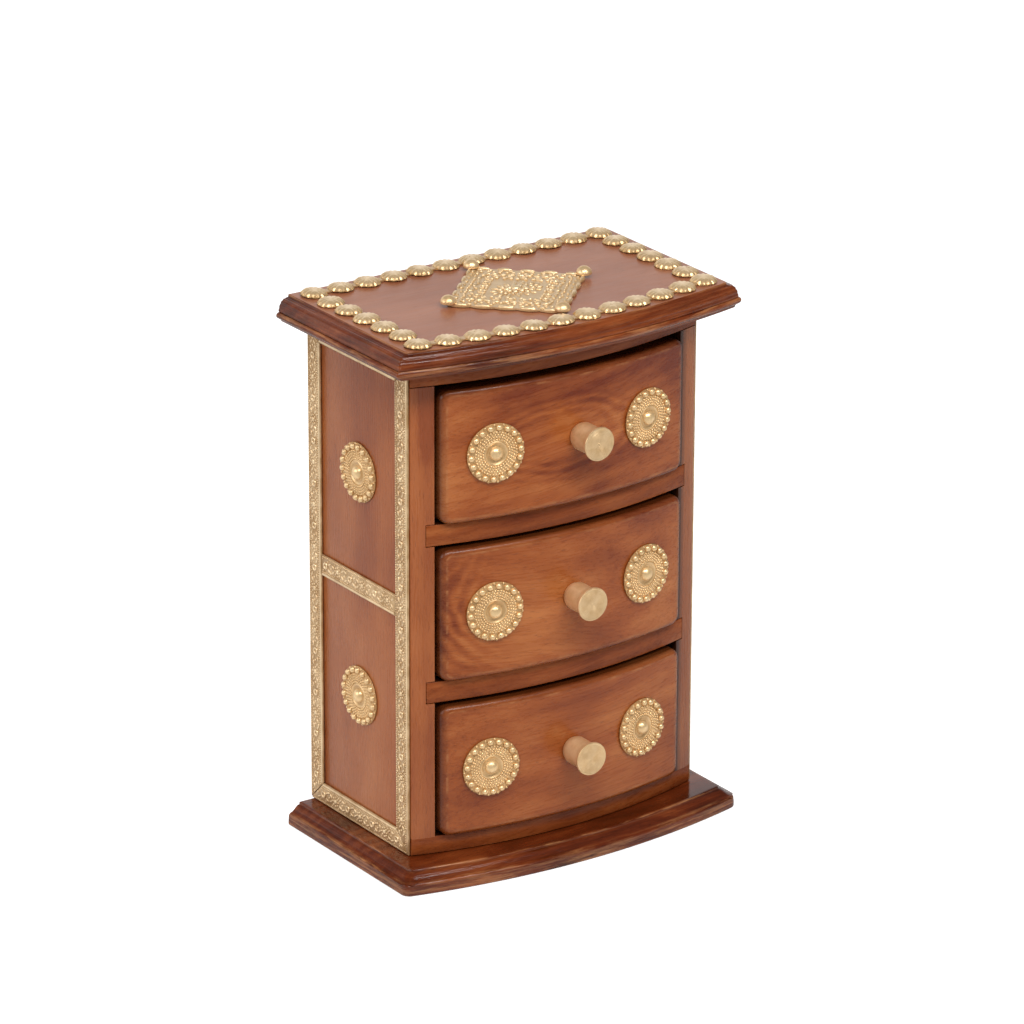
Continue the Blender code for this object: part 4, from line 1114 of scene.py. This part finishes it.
def flower_border(node, seed, drift, pins):
    """Chain of flowers and links; drift is how far its first and its last flower were nailed off, in mm."""
    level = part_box(node)[0].z / MM
    chance = random.Random(seed)
    places = [Vector((*place, level)) for place in flower_places(node)]
    for number, place in enumerate(places):
        first, last = [Vector((*offset, 0)) for offset in drift]
        place += first.lerp(last, number / (len(places) - 1))
    bm = painted_bmesh("relief")
    for here, after in zip(places, places[1:]):
        step = after - here
        link = bmesh.ops.create_cube(bm, size=MM)["verts"]
        bmesh.ops.scale(bm, vec=(step.length, 3.2, 0.5), verts=link)
        turn = Matrix.Rotation(math.atan2(step.y, step.x), 3, "Z")
        bmesh.ops.rotate(bm, cent=(0, 0, 0), matrix=turn, verts=link)
        bmesh.ops.translate(bm, vec=((here + after) / 2 + Vector((0, 0, 0.25))) * MM, verts=link)
    paint(bm, "relief", bm.verts, 0.2)
    for number, place in enumerate(places):
        tilt_x, tilt_y = [Matrix.Rotation(chance.uniform(-0.04, 0.04), 4, axis) for axis in "XY"]
        turned = tilt_x @ tilt_y @ Matrix.Rotation(chance.uniform(0, 6), 4, "Z")
        press_in(bm, flower, Matrix.Translation((place + Vector((0, 0, 0.12))) * MM) @ turned)
        if number in pins:
            pin = place + Vector((chance.uniform(-1.5, 1.5), chance.uniform(-1.2, 1.2), 1.75))
            stamp(bm, boss_ring, pin, (0.9, 0.9, 0.6))
    return finish_piece(node, bm, flower_brass)


# %% Make the four borders
flower_border("front_flower_border", 1, ((0, -1.8), (0, 0)), (0, 2, 7, 9))
flower_border("rear_flower_border", 2, ((0, 0), (0, 0)), (1, 6, 10))
flower_border("left_flower_border", 3, ((0.9, -1.9), (-0.5, -1.0)), (1, 4))
flower_border("right_flower_border", 5, ((0, 0), (0, 0)), (0, 3))
print("flowers:", [len(flower_places(node)) for node in nodes if node.endswith("flower_border")])

# %% [markdown]
# ## Lozenge plate and dome nails
# In the middle of the top lies a pressed filigree plate in the shape of a lozenge, held by a dome nail at
# each tip. It starts as a face between the four nails. Its edges are subdivided and waved into scallops, it
# is extruded to its thickness, and ribs, beads and petals are stamped on it in rows that follow its edges.

# %% Cut out the lozenge plate
nail_places = {}
for tip in ("right", "rear", "left", "front"):
    low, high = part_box(tip + "_dome_nail")
    nail_places[tip] = (low + high) / 2
lozenge_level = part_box("lozenge_plate")[0].z
tips = [Vector((place.x, place.y, 0)) for place in nail_places.values()]
middle = sum(tips, Vector()) / 4
lozenge_sides = [(start - middle, end - middle) for start, end in zip(tips, tips[1:] + tips[:1])]
WAVES, WAVE_HEIGHT, PLATE_THICK = 5, 1.1, 0.7  # scallops on each side, and mm

bm = painted_bmesh("relief")
bm.faces.new([bm.verts.new(tip - middle) for tip in tips])
bmesh.ops.subdivide_edges(bm, edges=bm.edges[:], cuts=8 * WAVES - 1)
for start, end in lozenge_sides:
    along = (end - start).normalized()
    outward = Vector((along.y, -along.x, 0))
    for vert in bm.verts:
        offset = vert.co - start
        if abs(offset.dot(outward)) < 1e-6:
            share = offset.length / (end - start).length
            vert.co += outward * WAVE_HEIGHT * MM * abs(math.sin(math.pi * WAVES * share))
extrude(bm, bm.faces[:], (0, 0, PLATE_THICK * MM))
bmesh.ops.recalc_face_normals(bm, faces=bm.faces)
print("lozenge:", len(bm.verts) // 2, "corners along its scalloped edge")

# %% Press its ornament
CENTRE_ROUNDS = ((16, (9.4, 6.6), (1.5, 0.8, 0.75), 0.62), (14, (6.8, 4.7), (1.1, 0.7, 0.9), 0.66),
                 (9, (3.9, 2.6), (1.4, 1.0, 1.0), 0.85), (1, (0, 0), (2.2, 1.5, 1.5), 0.85))
die_marks = random.Random(8)


def row_along_edges(share, count, mesh, size, level, loose=0.0):
    """Stamp shapes along the edges of a lozenge, a share of the full one; loose is in mm too."""
    for start, end in lozenge_sides:
        turn = math.atan2(end.y - start.y, end.x - start.x)
        for number in range(count):
            place = start.lerp(end, (number + 0.5) / count) * share / MM
            shift = [die_marks.uniform(-loose, loose) for axis in range(3)]
            stamp(bm, mesh, (place.x + shift[0], place.y + shift[1], level), size, turn + 1.6 * shift[2])


row_along_edges(1.005, WAVES, bead, (3.0, 0.8, 1.0), 0.55)
row_along_edges(0.93, 2 * WAVES, bead, (1.1, 0.6, 0.75), 0.60, 0.3)
row_along_edges(0.83, 3 * WAVES, bead, (0.75, 0.6, 0.85), 0.60, 0.4)
row_along_edges(0.72, 2 * WAVES, bead, (1.5, 0.7, 0.9), 0.62, 0.5)
row_along_edges(0.60, WAVES, boss_ring, (1.7, 1.4, 1.3), 0.66, 0.3)
row_along_edges(0.52, 8, bead, (0.8, 0.6, 0.95), 0.66, 0.4)
for count, reach, size, level in CENTRE_ROUNDS:
    for number in range(count):
        angle = 2 * math.pi * (number + die_marks.uniform(-0.1, 0.1)) / count
        place = (reach[0] * math.cos(angle), reach[1] * math.sin(angle), level)
        stamp(bm, bead, place, size, angle if count > 1 else 0.0)
paint_relief(bm, 0.60, 1.5)
bmesh.ops.translate(bm, vec=middle + Vector((0, 0, lozenge_level)), verts=bm.verts)
finish_piece("lozenge_plate", bm, plate_brass)

# %% Drive the dome nails
nail_side = [(0, 3.2), (0.8, 3.1), (1.55, 2.8), (2.2, 2.33), (2.7, 1.72), (3.0, 1.05), (3.1, 0.5),
             (2.95, 0.1), (2.6, 0), (0, 0)]
for tip, place in nail_places.items():
    bm = spun(nail_side, 32)
    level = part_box(tip + "_dome_nail")[1].z - nail_side[0][1] * MM
    bmesh.ops.translate(bm, vec=(place.x, place.y, level), verts=bm.verts)
    finish_piece(tip + "_dome_nail", bm, nail_brass)
print("dome nails:", list(nail_places))
